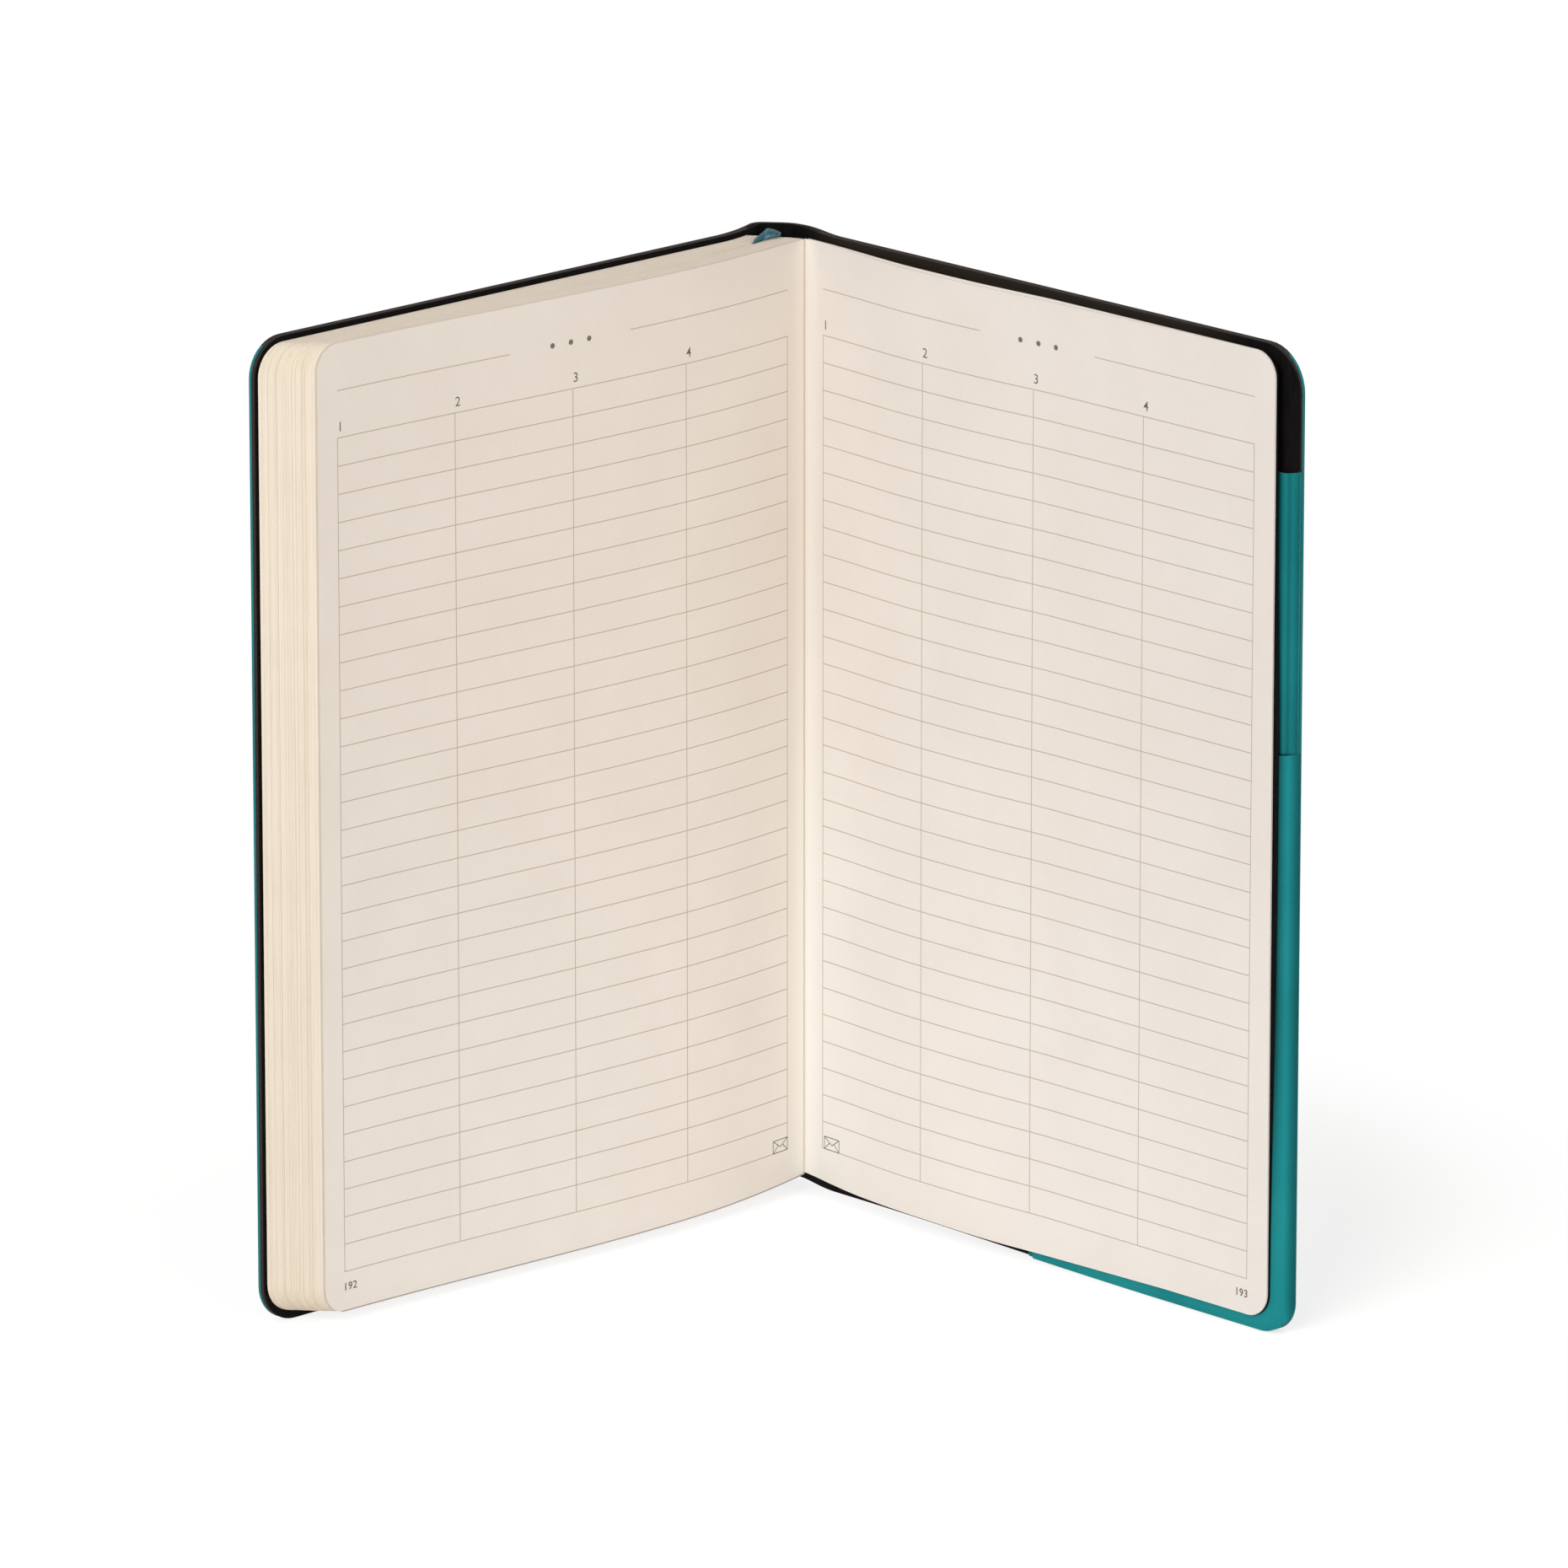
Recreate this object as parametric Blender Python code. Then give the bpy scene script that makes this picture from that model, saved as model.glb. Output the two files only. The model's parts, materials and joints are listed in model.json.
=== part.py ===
"""Soft-cover notebook, standing open on its tail near the end of its pages.

Metres, +Z up. The reader looks along +Y. The front half is on the left, the back half on the right.
Each half is drawn in its own plan frame: s runs from the spine to the fore edge, n runs from the
outside of the cover towards the reader, and z runs from tail to head.
"""

import math

import bmesh
import bpy
from mathutils import Matrix, Vector

MM = 0.001

# Covers
COVER_WIDTH = 124.0 * MM
COVER_HEIGHT = 180.0 * MM
COVER_CORNER = 7.0 * MM
SKIN = 0.5 * MM
BOARD = 0.9 * MM
LINING = 0.25 * MM
GLUE_GAP = 0.05 * MM

# Spine and the two creases beside it
SPINE_WIDTH = 10.7 * MM
SPINE_CARD = 0.35 * MM
CREASE_GAP = 1.0 * MM
CREASE_MITRE = 2.4 * MM
BEND_LENGTH = 13.0 * MM
BEND_DROP = 3.3 * MM
BACK_JOINT_START = 1.8 * MM
BACK_JOINT_END = 4.6 * MM
JOINT_CLEARANCE = 0.3 * MM

# How the notebook stands open, as angles to the line across the reader's view
FRONT_ANGLE = math.radians(43.0)
BACK_ANGLE = math.radians(46.0)
SPINE_ANGLE = math.radians(29.7)

# Leaves
LEAF_CORNER = 6.5 * MM
LEAF = 0.1 * MM
LEAF_GAP = 0.08 * MM
HEAD_MARGIN = 0.9 * MM
TAIL_MARGIN = 1.9 * MM
FLYLEAF = 0.16 * MM
FLYLEAF_MARGIN = 0.4 * MM

# The front block, from its first leaf on the cover to the open page
FRONT_SECTIONS = 12
FRONT_LOOSE_LEAVES = 3
FIRST_LEAF_ROOT = 5.9 * MM
FIRST_LEAF_MARGIN = 1.3 * MM
BLOCK_SKEW = 5.5 * MM
BLOCK_AT_FORE_EDGE = 7.0 * MM
BLOCK_AT_SWELL = 10.3 * MM
BLOCK_AT_GUTTER = 7.7 * MM
SWELL_POSITION = 33.0 * MM

# The last section, on the back cover
BACK_LOOSE_LEAVES = 1
LAST_SECTION = 0.2 * MM
PAGE_LIFT = 0.6 * MM
PAGE_SWELL = 2.1 * MM
PAGE_SWELL_LENGTH = 64.0 * MM
LAST_SECTION_ROOT = 3.6 * MM

# Back pocket
POCKET_WIDTH = 64.0 * MM
POCKET_HEIGHT = 158.0 * MM
CARD_SLOT_HEIGHT = 107.0 * MM
CARD_SLOT_INSET = 1.5 * MM
POCKET_PANEL = 0.4 * MM
POCKET_SLIT = 0.3 * MM
BINDING = 0.45 * MM
BINDING_FIT = 0.1 * MM
RISE_LENGTH = 26.0 * MM

# Sewing, gauze and ribbon
THREAD = 0.35 * MM
THREAD_GAP = 0.3 * MM
KETTLE_STITCH = 12.0 * MM
MULL = 0.2 * MM
MULL_SHARE = 0.7
RIBBON_WIDTH = 5.0 * MM
RIBBON = 0.25 * MM
RIBBON_FIT = 0.12 * MM
RIBBON_AFTER_SECTION = 6
RIBBON_POSITION = 5.8 * MM
RIBBON_TAIL = 62.0 * MM
RIBBON_GLUED = 40.0 * MM
RIBBON_LOOP = 1.6 * MM
RIBBON_LOOP_STEPS = 16
RIBBON_BACK_SHARE = 0.35

ARC_STEPS = 6
COVER_THICKNESS = SKIN + GLUE_GAP + BOARD + GLUE_GAP + LINING
BLOCK_BASE = COVER_THICKNESS + LEAF_GAP + FLYLEAF + LEAF_GAP
LEAF_WIDTH = COVER_WIDTH - FIRST_LEAF_ROOT - FIRST_LEAF_MARGIN
LEAF_TAIL = TAIL_MARGIN
LEAF_HEAD = COVER_HEIGHT - HEAD_MARGIN

COLOURS = {
    "teal_skin": ((0.004, 0.157, 0.165, 1.0), 0.55),
    "black_lining": ((0.018, 0.013, 0.012, 1.0), 0.7),
    "black_board": ((0.02, 0.015, 0.014, 1.0), 0.8),
    "cream_paper": ((0.80, 0.72, 0.60, 1.0), 0.9),
    "gauze": ((0.75, 0.72, 0.66, 1.0), 0.95),
    "thread": ((0.82, 0.80, 0.75, 1.0), 0.8),
    "ribbon": ((0.01, 0.19, 0.21, 1.0), 0.6),
}


def material(name):
    colour, roughness = COLOURS[name]
    made = bpy.data.materials.get(name) or bpy.data.materials.new(name)
    made.use_nodes = True
    shader = made.node_tree.nodes["Principled BSDF"]
    shader.inputs["Base Color"].default_value = colour
    shader.inputs["Roughness"].default_value = roughness
    shader.inputs["Metallic"].default_value = 0.0
    return made


def empty(name, location=(0, 0, 0), turn=0.0, parent=None):
    made = bpy.data.objects.new(name, None)
    made.location = location
    made.rotation_euler = (0, 0, turn)
    made.parent = parent
    bpy.context.scene.collection.objects.link(made)
    return made


def add_object(name, data, finish, parent):
    made = bpy.data.objects.new(name, data)
    made.parent = parent
    data.materials.append(material(finish))
    bpy.context.scene.collection.objects.link(made)
    return made


def panel_outline(start, end, low, high, corner):
    """A panel in (s, z), square at the spine and rounded at its two fore-edge corners."""
    points = [(start, low)]
    for centre, first in (((end - corner, low + corner), -90), ((end - corner, high - corner), 0)):
        for step in range(ARC_STEPS + 1):
            angle = math.radians(first + 90.0 * step / ARC_STEPS)
            points.append((centre[0] + corner * math.cos(angle), centre[1] + corner * math.sin(angle)))
    points.append((start, high))
    return points


def sheet(name, outline, lower, upper, finish, parent, stations=(), side=1, pivot=(0, 0), slide=(0, 0)):
    """A bent sheet: the outline in (s, z), between the faces lower(s) and upper(s).

    slide shifts the lower and the upper face along s. pivot is the (s, n) of the parent's axis.
    side is -1 where the frame's +Y points out of the notebook.
    """
    mesh = bpy.data.meshes.new(name)
    bm = bmesh.new()
    bm.faces.new([bm.verts.new((s, 0, z)) for s, z in outline])
    for station in stations:
        whole = bm.verts[:] + bm.edges[:] + bm.faces[:]
        bmesh.ops.bisect_plane(bm, geom=whole, dist=1e-7, plane_co=(station, 0, 0), plane_no=(1, 0, 0))
    below = set(bm.verts)
    bmesh.ops.extrude_face_region(bm, geom=bm.faces[:])
    for vert in bm.verts:
        face, shift = (lower, slide[0]) if vert in below else (upper, slide[1])
        s = vert.co.x + shift
        vert.co.x = s - pivot[0]
        vert.co.y = side * (face(s) - pivot[1])
    bmesh.ops.recalc_face_normals(bm, faces=bm.faces[:])
    bm.to_mesh(mesh)
    bm.free()
    return add_object(name, mesh, finish, parent)


def prism(name, plan, low, high, finish, parent):
    """An upright solid with the same (x, y) outline at every height."""
    mesh = bpy.data.meshes.new(name)
    bm = bmesh.new()
    bm.faces.new([bm.verts.new((x, y, low)) for x, y in plan])
    raised = bmesh.ops.extrude_face_region(bm, geom=bm.faces[:])["geom"]
    for vert in [item for item in raised if isinstance(item, bmesh.types.BMVert)]:
        vert.co.z = high
    bmesh.ops.recalc_face_normals(bm, faces=bm.faces[:])
    bm.to_mesh(mesh)
    bm.free()
    return add_object(name, mesh, finish, parent)


def spread(start, end, count):
    return [start + (end - start) * step / count for step in range(1, count)]


def smooth(share):
    share = min(max(share, 0.0), 1.0)
    return share * share * (3.0 - 2.0 * share)


# Front half: n is 0 on the flat outside of the front cover, and the crease lies BEND_DROP behind it.


def front_face(s):
    """The outside of the front cover, which bends back towards its crease."""
    return -BEND_DROP * (max(BEND_LENGTH - s, 0.0) / BEND_LENGTH) ** 2


def leaf_shift(share):
    """How far the leaves at this share of the block have slid towards the spine."""
    return -BLOCK_SKEW * share


def open_page_root():
    return FIRST_LEAF_ROOT + leaf_shift(1.0)


def block_bottom(s):
    return front_face(s) + BLOCK_BASE


def block_top(s):
    """The top of the sewn front block: it rises out of the gutter, swells and falls to the fore edge."""
    root = open_page_root()
    if s < SWELL_POSITION:
        rise = math.sin(0.5 * math.pi * (s - root) / (SWELL_POSITION - root))
        return BLOCK_BASE + BLOCK_AT_GUTTER + (BLOCK_AT_SWELL - BLOCK_AT_GUTTER) * rise
    fall = min((s - SWELL_POSITION) / (root + LEAF_WIDTH - SWELL_POSITION), 1.0)
    wave = 0.5 + 0.5 * math.cos(math.pi * fall)
    return BLOCK_BASE + BLOCK_AT_FORE_EDGE + (BLOCK_AT_SWELL - BLOCK_AT_FORE_EDGE) * wave


def block_level(share):
    """The face inside the front block at this share of its thickness, as a function of s."""
    return lambda s: block_bottom(s) + share * (block_top(s) - block_bottom(s))


def raised(face, amount):
    return lambda s: face(s) + amount


def front_stations(start):
    """Where a sheet of the front half bends: close together by the spine, wide apart on the page."""
    near = spread(start, BEND_LENGTH, 6) + [BEND_LENGTH]
    middle = spread(BEND_LENGTH, SWELL_POSITION, 4) + [SWELL_POSITION]
    return near + middle + spread(SWELL_POSITION, COVER_WIDTH, 7)


def leaf_outline(root):
    return panel_outline(root, root + LEAF_WIDTH, LEAF_TAIL, LEAF_HEAD, LEAF_CORNER)


def cover_layers(face):
    """The three layers of a cover, as (lower, upper) faces above its outside."""
    skin_top = SKIN
    board_low = skin_top + GLUE_GAP
    board_top = board_low + BOARD
    lining_low = board_top + GLUE_GAP
    levels = ((0.0, skin_top), (board_low, board_top), (lining_low, lining_low + LINING))
    return [(raised(face, low), raised(face, high)) for low, high in levels]


def build_front_cover(hinge):
    """Skin, board and lining of the front cover, around the axis of the front crease."""
    axis = (0.0, -BEND_DROP)
    names = ("front_cover_skin", "front_cover_board", "front_cover_lining")
    finishes = ("teal_skin", "black_board", "black_lining")
    starts = (JOINT_CLEARANCE, CREASE_MITRE, CREASE_MITRE)
    for name, finish, start, faces in zip(names, finishes, starts, cover_layers(front_face)):
        outline = panel_outline(start, COVER_WIDTH, 0.0, COVER_HEIGHT, COVER_CORNER)
        bends = spread(start, BEND_LENGTH, 6) + [BEND_LENGTH]
        sheet(name, outline, *faces, finish, hinge, bends, pivot=axis)


def front_flyleaf_axis():
    return FIRST_LEAF_ROOT, front_face(FIRST_LEAF_ROOT) + COVER_THICKNESS + LEAF_GAP + FLYLEAF / 2


def build_front_flyleaf(hinge):
    end = COVER_WIDTH - FIRST_LEAF_MARGIN - FLYLEAF_MARGIN
    low = raised(front_face, COVER_THICKNESS + LEAF_GAP)
    high = raised(front_face, COVER_THICKNESS + LEAF_GAP + FLYLEAF)
    outline = panel_outline(FIRST_LEAF_ROOT, end, LEAF_TAIL, LEAF_HEAD, LEAF_CORNER)
    bends = spread(FIRST_LEAF_ROOT, BEND_LENGTH, 6) + [BEND_LENGTH]
    sheet("front_flyleaf", outline, low, high, "black_lining", hinge, bends, pivot=front_flyleaf_axis())


def build_front_sections(frame):
    """The twelve sewn sections on the front cover, each slid a little further than the one below."""
    outline = leaf_outline(FIRST_LEAF_ROOT)
    for number in range(1, FRONT_SECTIONS + 1):
        shares = ((number - 1) / FRONT_SECTIONS, number / FRONT_SECTIONS)
        gap_below = LEAF_GAP / 2
        gap_above = LEAF_GAP / 2
        if number == RIBBON_AFTER_SECTION:
            gap_above += RIBBON / 2 + RIBBON_FIT
        if number == RIBBON_AFTER_SECTION + 1:
            gap_below += RIBBON / 2 + RIBBON_FIT
        low = raised(block_level(shares[0]), gap_below)
        high = raised(block_level(shares[1]), -gap_above)
        slide = tuple(leaf_shift(share) for share in shares)
        bends = front_stations(FIRST_LEAF_ROOT)
        sheet(f"section_{number:02d}", outline, low, high, "cream_paper", frame, bends, slide=slide)


def gutter():
    """The axis that the loose leaves turn on, in the front half's plan."""
    stack = FRONT_LOOSE_LEAVES * (LEAF + LEAF_GAP)
    return open_page_root(), block_top(open_page_root()) + stack


def build_front_leaves(hinges):
    """The loose leaves on top of the front block, the open page first."""
    root = open_page_root()
    for number, hinge in enumerate(hinges, 1):
        low = LEAF_GAP + (FRONT_LOOSE_LEAVES - number) * (LEAF + LEAF_GAP)
        faces = (raised(block_top, low), raised(block_top, low + LEAF))
        bends = front_stations(root)
        sheet(f"left_leaf_{number}", leaf_outline(root), *faces, "cream_paper", hinge, bends, pivot=gutter())


def block_back(share, offset):
    """A point behind the folded backs of the sections, offset from them towards the spine."""
    s = FIRST_LEAF_ROOT + leaf_shift(share)
    return s - offset, block_level(share)(s)


def build_mull(frame):
    near = THREAD_GAP + THREAD + THREAD_GAP
    low, high = (0.5 / FRONT_SECTIONS, MULL_SHARE)
    far = near + MULL
    plan = [block_back(low, near), block_back(high, near), block_back(high, far), block_back(low, far)]
    prism("spine_mull", plan, LEAF_TAIL + KETTLE_STITCH, LEAF_HEAD - KETTLE_STITCH, "gauze", frame)


def curve_tube(name, points, diameter, finish, parent):
    data = bpy.data.curves.new(name, "CURVE")
    data.dimensions = "3D"
    data.bevel_depth = diameter / 2
    data.bevel_resolution = 2
    data.use_fill_caps = True
    spline = data.splines.new("POLY")
    spline.points.add(len(points) - 1)
    for target, point in zip(spline.points, points):
        target.co = (*point, 1.0)
    return add_object(name, data, finish, parent)


def build_thread(frame):
    """One thread up and down the backs of the front sections, from kettle stitch to kettle stitch."""
    ends = [LEAF_TAIL + KETTLE_STITCH, LEAF_HEAD - KETTLE_STITCH]
    points = []
    for number in range(FRONT_SECTIONS - 1):
        place = block_back((number + 0.5) / FRONT_SECTIONS, THREAD_GAP + THREAD / 2)
        points += [(*place, z) for z in ends]
        ends.reverse()
    curve_tube("sewing_thread", points, THREAD, "thread", frame)


def ribbon_route():
    """Centre points of the ribbon with its width direction, from the spine over the head to its tail."""
    back_gap = 2 * THREAD_GAP + THREAD + MULL + LEAF_GAP + RIBBON
    back = Vector((*block_back(RIBBON_BACK_SHARE, back_gap), 0.0))
    across_back = (Vector(block_back(1.0, 0.0)) - Vector(block_back(0.0, 0.0))).normalized().to_3d()
    level = block_level(RIBBON_AFTER_SECTION / FRONT_SECTIONS)
    inside = Vector((RIBBON_POSITION, level(RIBBON_POSITION), 0.0))
    half = RIBBON_WIDTH / 2
    page_rise = level(RIBBON_POSITION + half) - level(RIBBON_POSITION - half)
    along_page = Vector((-RIBBON_WIDTH, -page_rise, 0)).normalized()
    route = [(back + Vector((0, 0, LEAF_HEAD - RIBBON_GLUED)), across_back)]
    for step in range(RIBBON_LOOP_STEPS + 1):
        share = step / RIBBON_LOOP_STEPS
        centre = back.lerp(inside, 0.5 - 0.5 * math.cos(math.pi * share))
        centre.z = LEAF_HEAD + RIBBON_LOOP * math.sin(math.pi * share)
        route.append((centre, across_back.slerp(along_page, share)))
    route.append((inside + Vector((0, 0, RIBBON_TAIL)), along_page))
    return route


def build_ribbon(frame):
    """The page marker: a flat woven strip, glued behind the sections and laid between two of them."""
    route = ribbon_route()
    bm = bmesh.new()
    rings = []
    for index, (centre, across) in enumerate(route):
        before = route[max(index - 1, 0)][0]
        after = route[min(index + 1, len(route) - 1)][0]
        depth = (after - before).cross(across).normalized()
        corners = ((-1, -1), (1, -1), (1, 1), (-1, 1))
        rings.append([bm.verts.new(centre + across * (a * RIBBON_WIDTH / 2) + depth * (b * RIBBON / 2))
                      for a, b in corners])
    for first, second in zip(rings, rings[1:]):
        for k in range(4):
            bm.faces.new((first[k], first[(k + 1) % 4], second[(k + 1) % 4], second[k]))
    bm.faces.new(rings[0])
    bm.faces.new(rings[-1])
    bmesh.ops.recalc_face_normals(bm, faces=bm.faces[:])
    mesh = bpy.data.meshes.new("ribbon_marker")
    bm.to_mesh(mesh)
    bm.free()
    add_object("ribbon_marker", mesh, "ribbon", frame)


# Spine: s runs from the front crease to the back crease, and n from the outside inwards.


def build_spine(frame):
    levels = (0.0, SKIN, SKIN + GLUE_GAP, SKIN + GLUE_GAP + SPINE_CARD,
              SKIN + 2 * GLUE_GAP + SPINE_CARD, SKIN + 2 * GLUE_GAP + SPINE_CARD + LINING)
    end = SPINE_WIDTH - BACK_JOINT_START
    pieces = (("spine_skin", "teal_skin", 0, CREASE_GAP), ("spine_card", "black_board", 2, CREASE_MITRE),
              ("spine_lining", "black_lining", 4, CREASE_MITRE))
    for name, finish, level, start in pieces:
        low, high = levels[level], levels[level + 1]
        plan = [(start, -low), (end, -low), (end, -high), (start, -high)]
        prism(name, plan, 0.0, COVER_HEIGHT, finish, frame)


# Back half: n is 0 on the outside of the back cover. The frame's +Y points out of the notebook.


def back_face(s):
    return 0.0


def joint_face(s):
    """The outside across the back crease, from the spine's slope to the back cover's plane."""
    fold = BACK_ANGLE - SPINE_ANGLE
    return max(-s, 0.0) * math.tan(fold)


def build_back_joint(frame):
    """The bare skin and its lining between the spine and the back board, where the cover bends."""
    fold = BACK_ANGLE - SPINE_ANGLE
    start = -(BACK_JOINT_START - JOINT_CLEARANCE) * math.cos(fold)
    end = BACK_JOINT_END - JOINT_CLEARANCE
    outline = panel_outline(start, end, 0.0, COVER_HEIGHT, 0.0)
    faces = (joint_face, raised(joint_face, SKIN))
    sheet("back_joint_skin", outline, *faces, "teal_skin", frame, [0.0], side=-1)
    low = SKIN + GLUE_GAP
    faces = (raised(joint_face, low), raised(joint_face, low + LINING))
    sheet("back_joint_lining", outline, *faces, "black_lining", frame, [0.0], side=-1)


def pocket_low():
    return COVER_THICKNESS + POCKET_SLIT


def pocket_top():
    return pocket_low() + POCKET_PANEL + POCKET_SLIT + POCKET_PANEL


def back_rise(s):
    """The face that the back flyleaf lies on: the lining, then up over the pocket."""
    start = COVER_WIDTH - POCKET_WIDTH - RISE_LENGTH
    share = smooth((s - start) / RISE_LENGTH)
    return COVER_THICKNESS + (pocket_top() - COVER_THICKNESS) * share


def back_stations():
    start = COVER_WIDTH - POCKET_WIDTH - RISE_LENGTH
    return [start] + spread(start, start + RISE_LENGTH, 5) + [start + RISE_LENGTH]


def build_back_cover(frame, axis):
    """Skin, board and lining of the back cover; the board stops short where the binding goes round."""
    names = ("back_cover_skin", "back_cover_board", "back_cover_lining")
    finishes = ("teal_skin", "black_board", "black_lining")
    insets = (0.0, BINDING + BINDING_FIT, BINDING + BINDING_FIT)
    for name, finish, inset, faces in zip(names, finishes, insets, cover_layers(back_face)):
        corner = COVER_CORNER - inset
        outline = panel_outline(BACK_JOINT_END, COVER_WIDTH - inset, inset, COVER_HEIGHT, corner)
        sheet(name, outline, *faces, finish, frame, side=-1, pivot=axis)


def build_pocket(frame, axis):
    """A main pocket and a lower card slot on the lining, with a binding round the cover's two edges."""
    start = COVER_WIDTH - POCKET_WIDTH
    inset = BINDING + BINDING_FIT
    corner = COVER_CORNER - inset
    levels = (pocket_low(), pocket_low() + POCKET_PANEL + POCKET_SLIT)
    panels = (("pocket_panel", start, POCKET_HEIGHT, levels[0]),
              ("card_slot_panel", start + CARD_SLOT_INSET, CARD_SLOT_HEIGHT, levels[1]))
    for name, left, height, level in panels:
        outline = [point for point in panel_outline(left, COVER_WIDTH - inset, inset, height, corner)
                   if point[1] <= inset + corner]
        outline += [(COVER_WIDTH - inset, height), (left, height)]
        faces = (raised(back_face, level), raised(back_face, level + POCKET_PANEL))
        sheet(name, outline, *faces, "teal_skin", frame, side=-1, pivot=axis)
    outer = [(start, 0.0)]
    inner = [(start, BINDING)]
    for step in range(ARC_STEPS + 1):
        angle = math.radians(-90 + 90.0 * step / ARC_STEPS)
        for path, radius in ((outer, COVER_CORNER), (inner, COVER_CORNER - BINDING)):
            path.append((COVER_WIDTH - COVER_CORNER + radius * math.cos(angle),
                         COVER_CORNER + radius * math.sin(angle)))
    outer.append((COVER_WIDTH, POCKET_HEIGHT))
    inner.append((COVER_WIDTH - BINDING, POCKET_HEIGHT))
    sheet("pocket_edge_binding", outer + inner[::-1], raised(back_face, SKIN + GLUE_GAP),
          raised(back_face, pocket_top()), "teal_skin", frame, side=-1, pivot=axis)


def page_rise(s):
    """The face under the last section: it swells beside the gutter, then comes down on to the pocket."""
    share = min(max((s - LAST_SECTION_ROOT) / PAGE_SWELL_LENGTH, 0.0), 1.0)
    swell = PAGE_SWELL * math.sin(math.pi * share) ** 2
    return back_rise(s) + FLYLEAF + 2 * LEAF_GAP + swell + PAGE_LIFT * (1.0 - smooth(share))


def page_stations():
    end = LAST_SECTION_ROOT + PAGE_SWELL_LENGTH
    return spread(LAST_SECTION_ROOT, end, 13) + [end]


def build_back_flyleaf(frame, axis):
    end = LAST_SECTION_ROOT + LEAF_WIDTH + FLYLEAF_MARGIN
    outline = panel_outline(LAST_SECTION_ROOT, end, LEAF_TAIL, LEAF_HEAD, LEAF_CORNER)
    faces = (raised(back_rise, LEAF_GAP), raised(back_rise, LEAF_GAP + FLYLEAF))
    sheet("back_flyleaf", outline, *faces, "black_lining", frame, back_stations(), side=-1, pivot=axis)


def build_last_section(frame, axis):
    sheet(f"section_{FRONT_SECTIONS + 1}", leaf_outline(LAST_SECTION_ROOT), page_rise,
          raised(page_rise, LAST_SECTION), "cream_paper", frame, page_stations(), side=-1, pivot=axis)


def build_back_leaves(frames, axis):
    """The loose leaves on the last section, the open page first."""
    base = LAST_SECTION + LEAF_GAP
    for number, frame in enumerate(frames, 1):
        low = base + (BACK_LOOSE_LEAVES - number) * (LEAF + LEAF_GAP)
        sheet(f"right_leaf_{number}", leaf_outline(LAST_SECTION_ROOT), raised(page_rise, low),
              raised(page_rise, low + LEAF), "cream_paper", frame, page_stations(), side=-1, pivot=axis)


def plan_point(frame, point, side=1):
    """A plan point of a half, in the notebook's own axes."""
    turn = Matrix.Rotation(frame.rotation_euler.z, 2)
    return Vector(frame.location[:2]) + turn @ Vector((point[0], side * point[1]))


def centre_over_base(root):
    """Moves the whole notebook so that its box stands centred on the origin."""
    bpy.context.view_layer.update()
    depsgraph = bpy.context.evaluated_depsgraph_get()
    low = Vector((1e9, 1e9, 1e9))
    high = -low
    for item in bpy.data.objects:
        if item.type == "EMPTY":
            continue
        shape = item.evaluated_get(depsgraph)
        for vert in shape.to_mesh().vertices:
            place = item.matrix_world @ vert.co
            low = Vector(map(min, low, place))
            high = Vector(map(max, high, place))
        shape.to_mesh_clear()
    root.location = (-(low.x + high.x) / 2, -(low.y + high.y) / 2, -low.z)
    print("size in mm", [round(size / MM, 2) for size in high - low])


def main():
    for item in list(bpy.data.objects):
        bpy.data.objects.remove(item)
    notebook = empty("notebook")
    front_turn = math.pi + FRONT_ANGLE
    front_normal = Vector((math.sin(FRONT_ANGLE), -math.cos(FRONT_ANGLE)))
    front_crease = SPINE_WIDTH * Vector((-math.cos(SPINE_ANGLE), math.sin(SPINE_ANGLE)))
    front = empty("front_frame", (*(front_crease + BEND_DROP * front_normal), 0), front_turn, notebook)
    spine = empty("spine_frame", (*front_crease, 0), -SPINE_ANGLE, notebook)
    back = empty("back_frame", (0, 0, 0), -BACK_ANGLE, notebook)

    gutter_point = plan_point(front, gutter())
    back_turn = Matrix.Rotation(BACK_ANGLE, 2)
    in_back = back_turn @ gutter_point
    back_axis = (in_back.x, -in_back.y)
    flyleaf_point = plan_point(front, front_flyleaf_axis())

    front_hinge = empty("front_cover_axis", (*front_crease, 0), front_turn, notebook)
    flyleaf_hinge = empty("front_flyleaf_axis", (*flyleaf_point, 0), front_turn, notebook)
    left_hinges = [empty(f"left_leaf_axis_{number + 1}", (*gutter_point, 0), front_turn, notebook)
                   for number in range(FRONT_LOOSE_LEAVES)]
    back_hinge = empty("back_cover_axis", (*gutter_point, 0), -BACK_ANGLE, notebook)
    right_hinges = [empty(f"right_leaf_axis_{number + 1}", (0, 0, 0), 0.0, back_hinge)
                    for number in range(BACK_LOOSE_LEAVES)]

    build_front_cover(front_hinge)
    build_front_flyleaf(flyleaf_hinge)
    build_front_sections(front)
    build_front_leaves(left_hinges)
    build_mull(front)
    build_thread(front)
    build_ribbon(front)
    build_spine(spine)
    build_back_joint(back)
    build_back_cover(back_hinge, back_axis)
    build_pocket(back_hinge, back_axis)
    build_back_flyleaf(back_hinge, back_axis)
    build_last_section(back_hinge, back_axis)
    build_back_leaves(right_hinges, back_axis)

    centre_over_base(notebook)
    bpy.context.view_layer.update()
    for axis in (front_hinge, flyleaf_hinge, back_hinge):
        print(axis.name, [round(value, 6) for value in axis.matrix_world.translation])


main()
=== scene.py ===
import json
import math
import random

import bmesh
import bpy
from mathutils import Matrix, Vector


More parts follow.
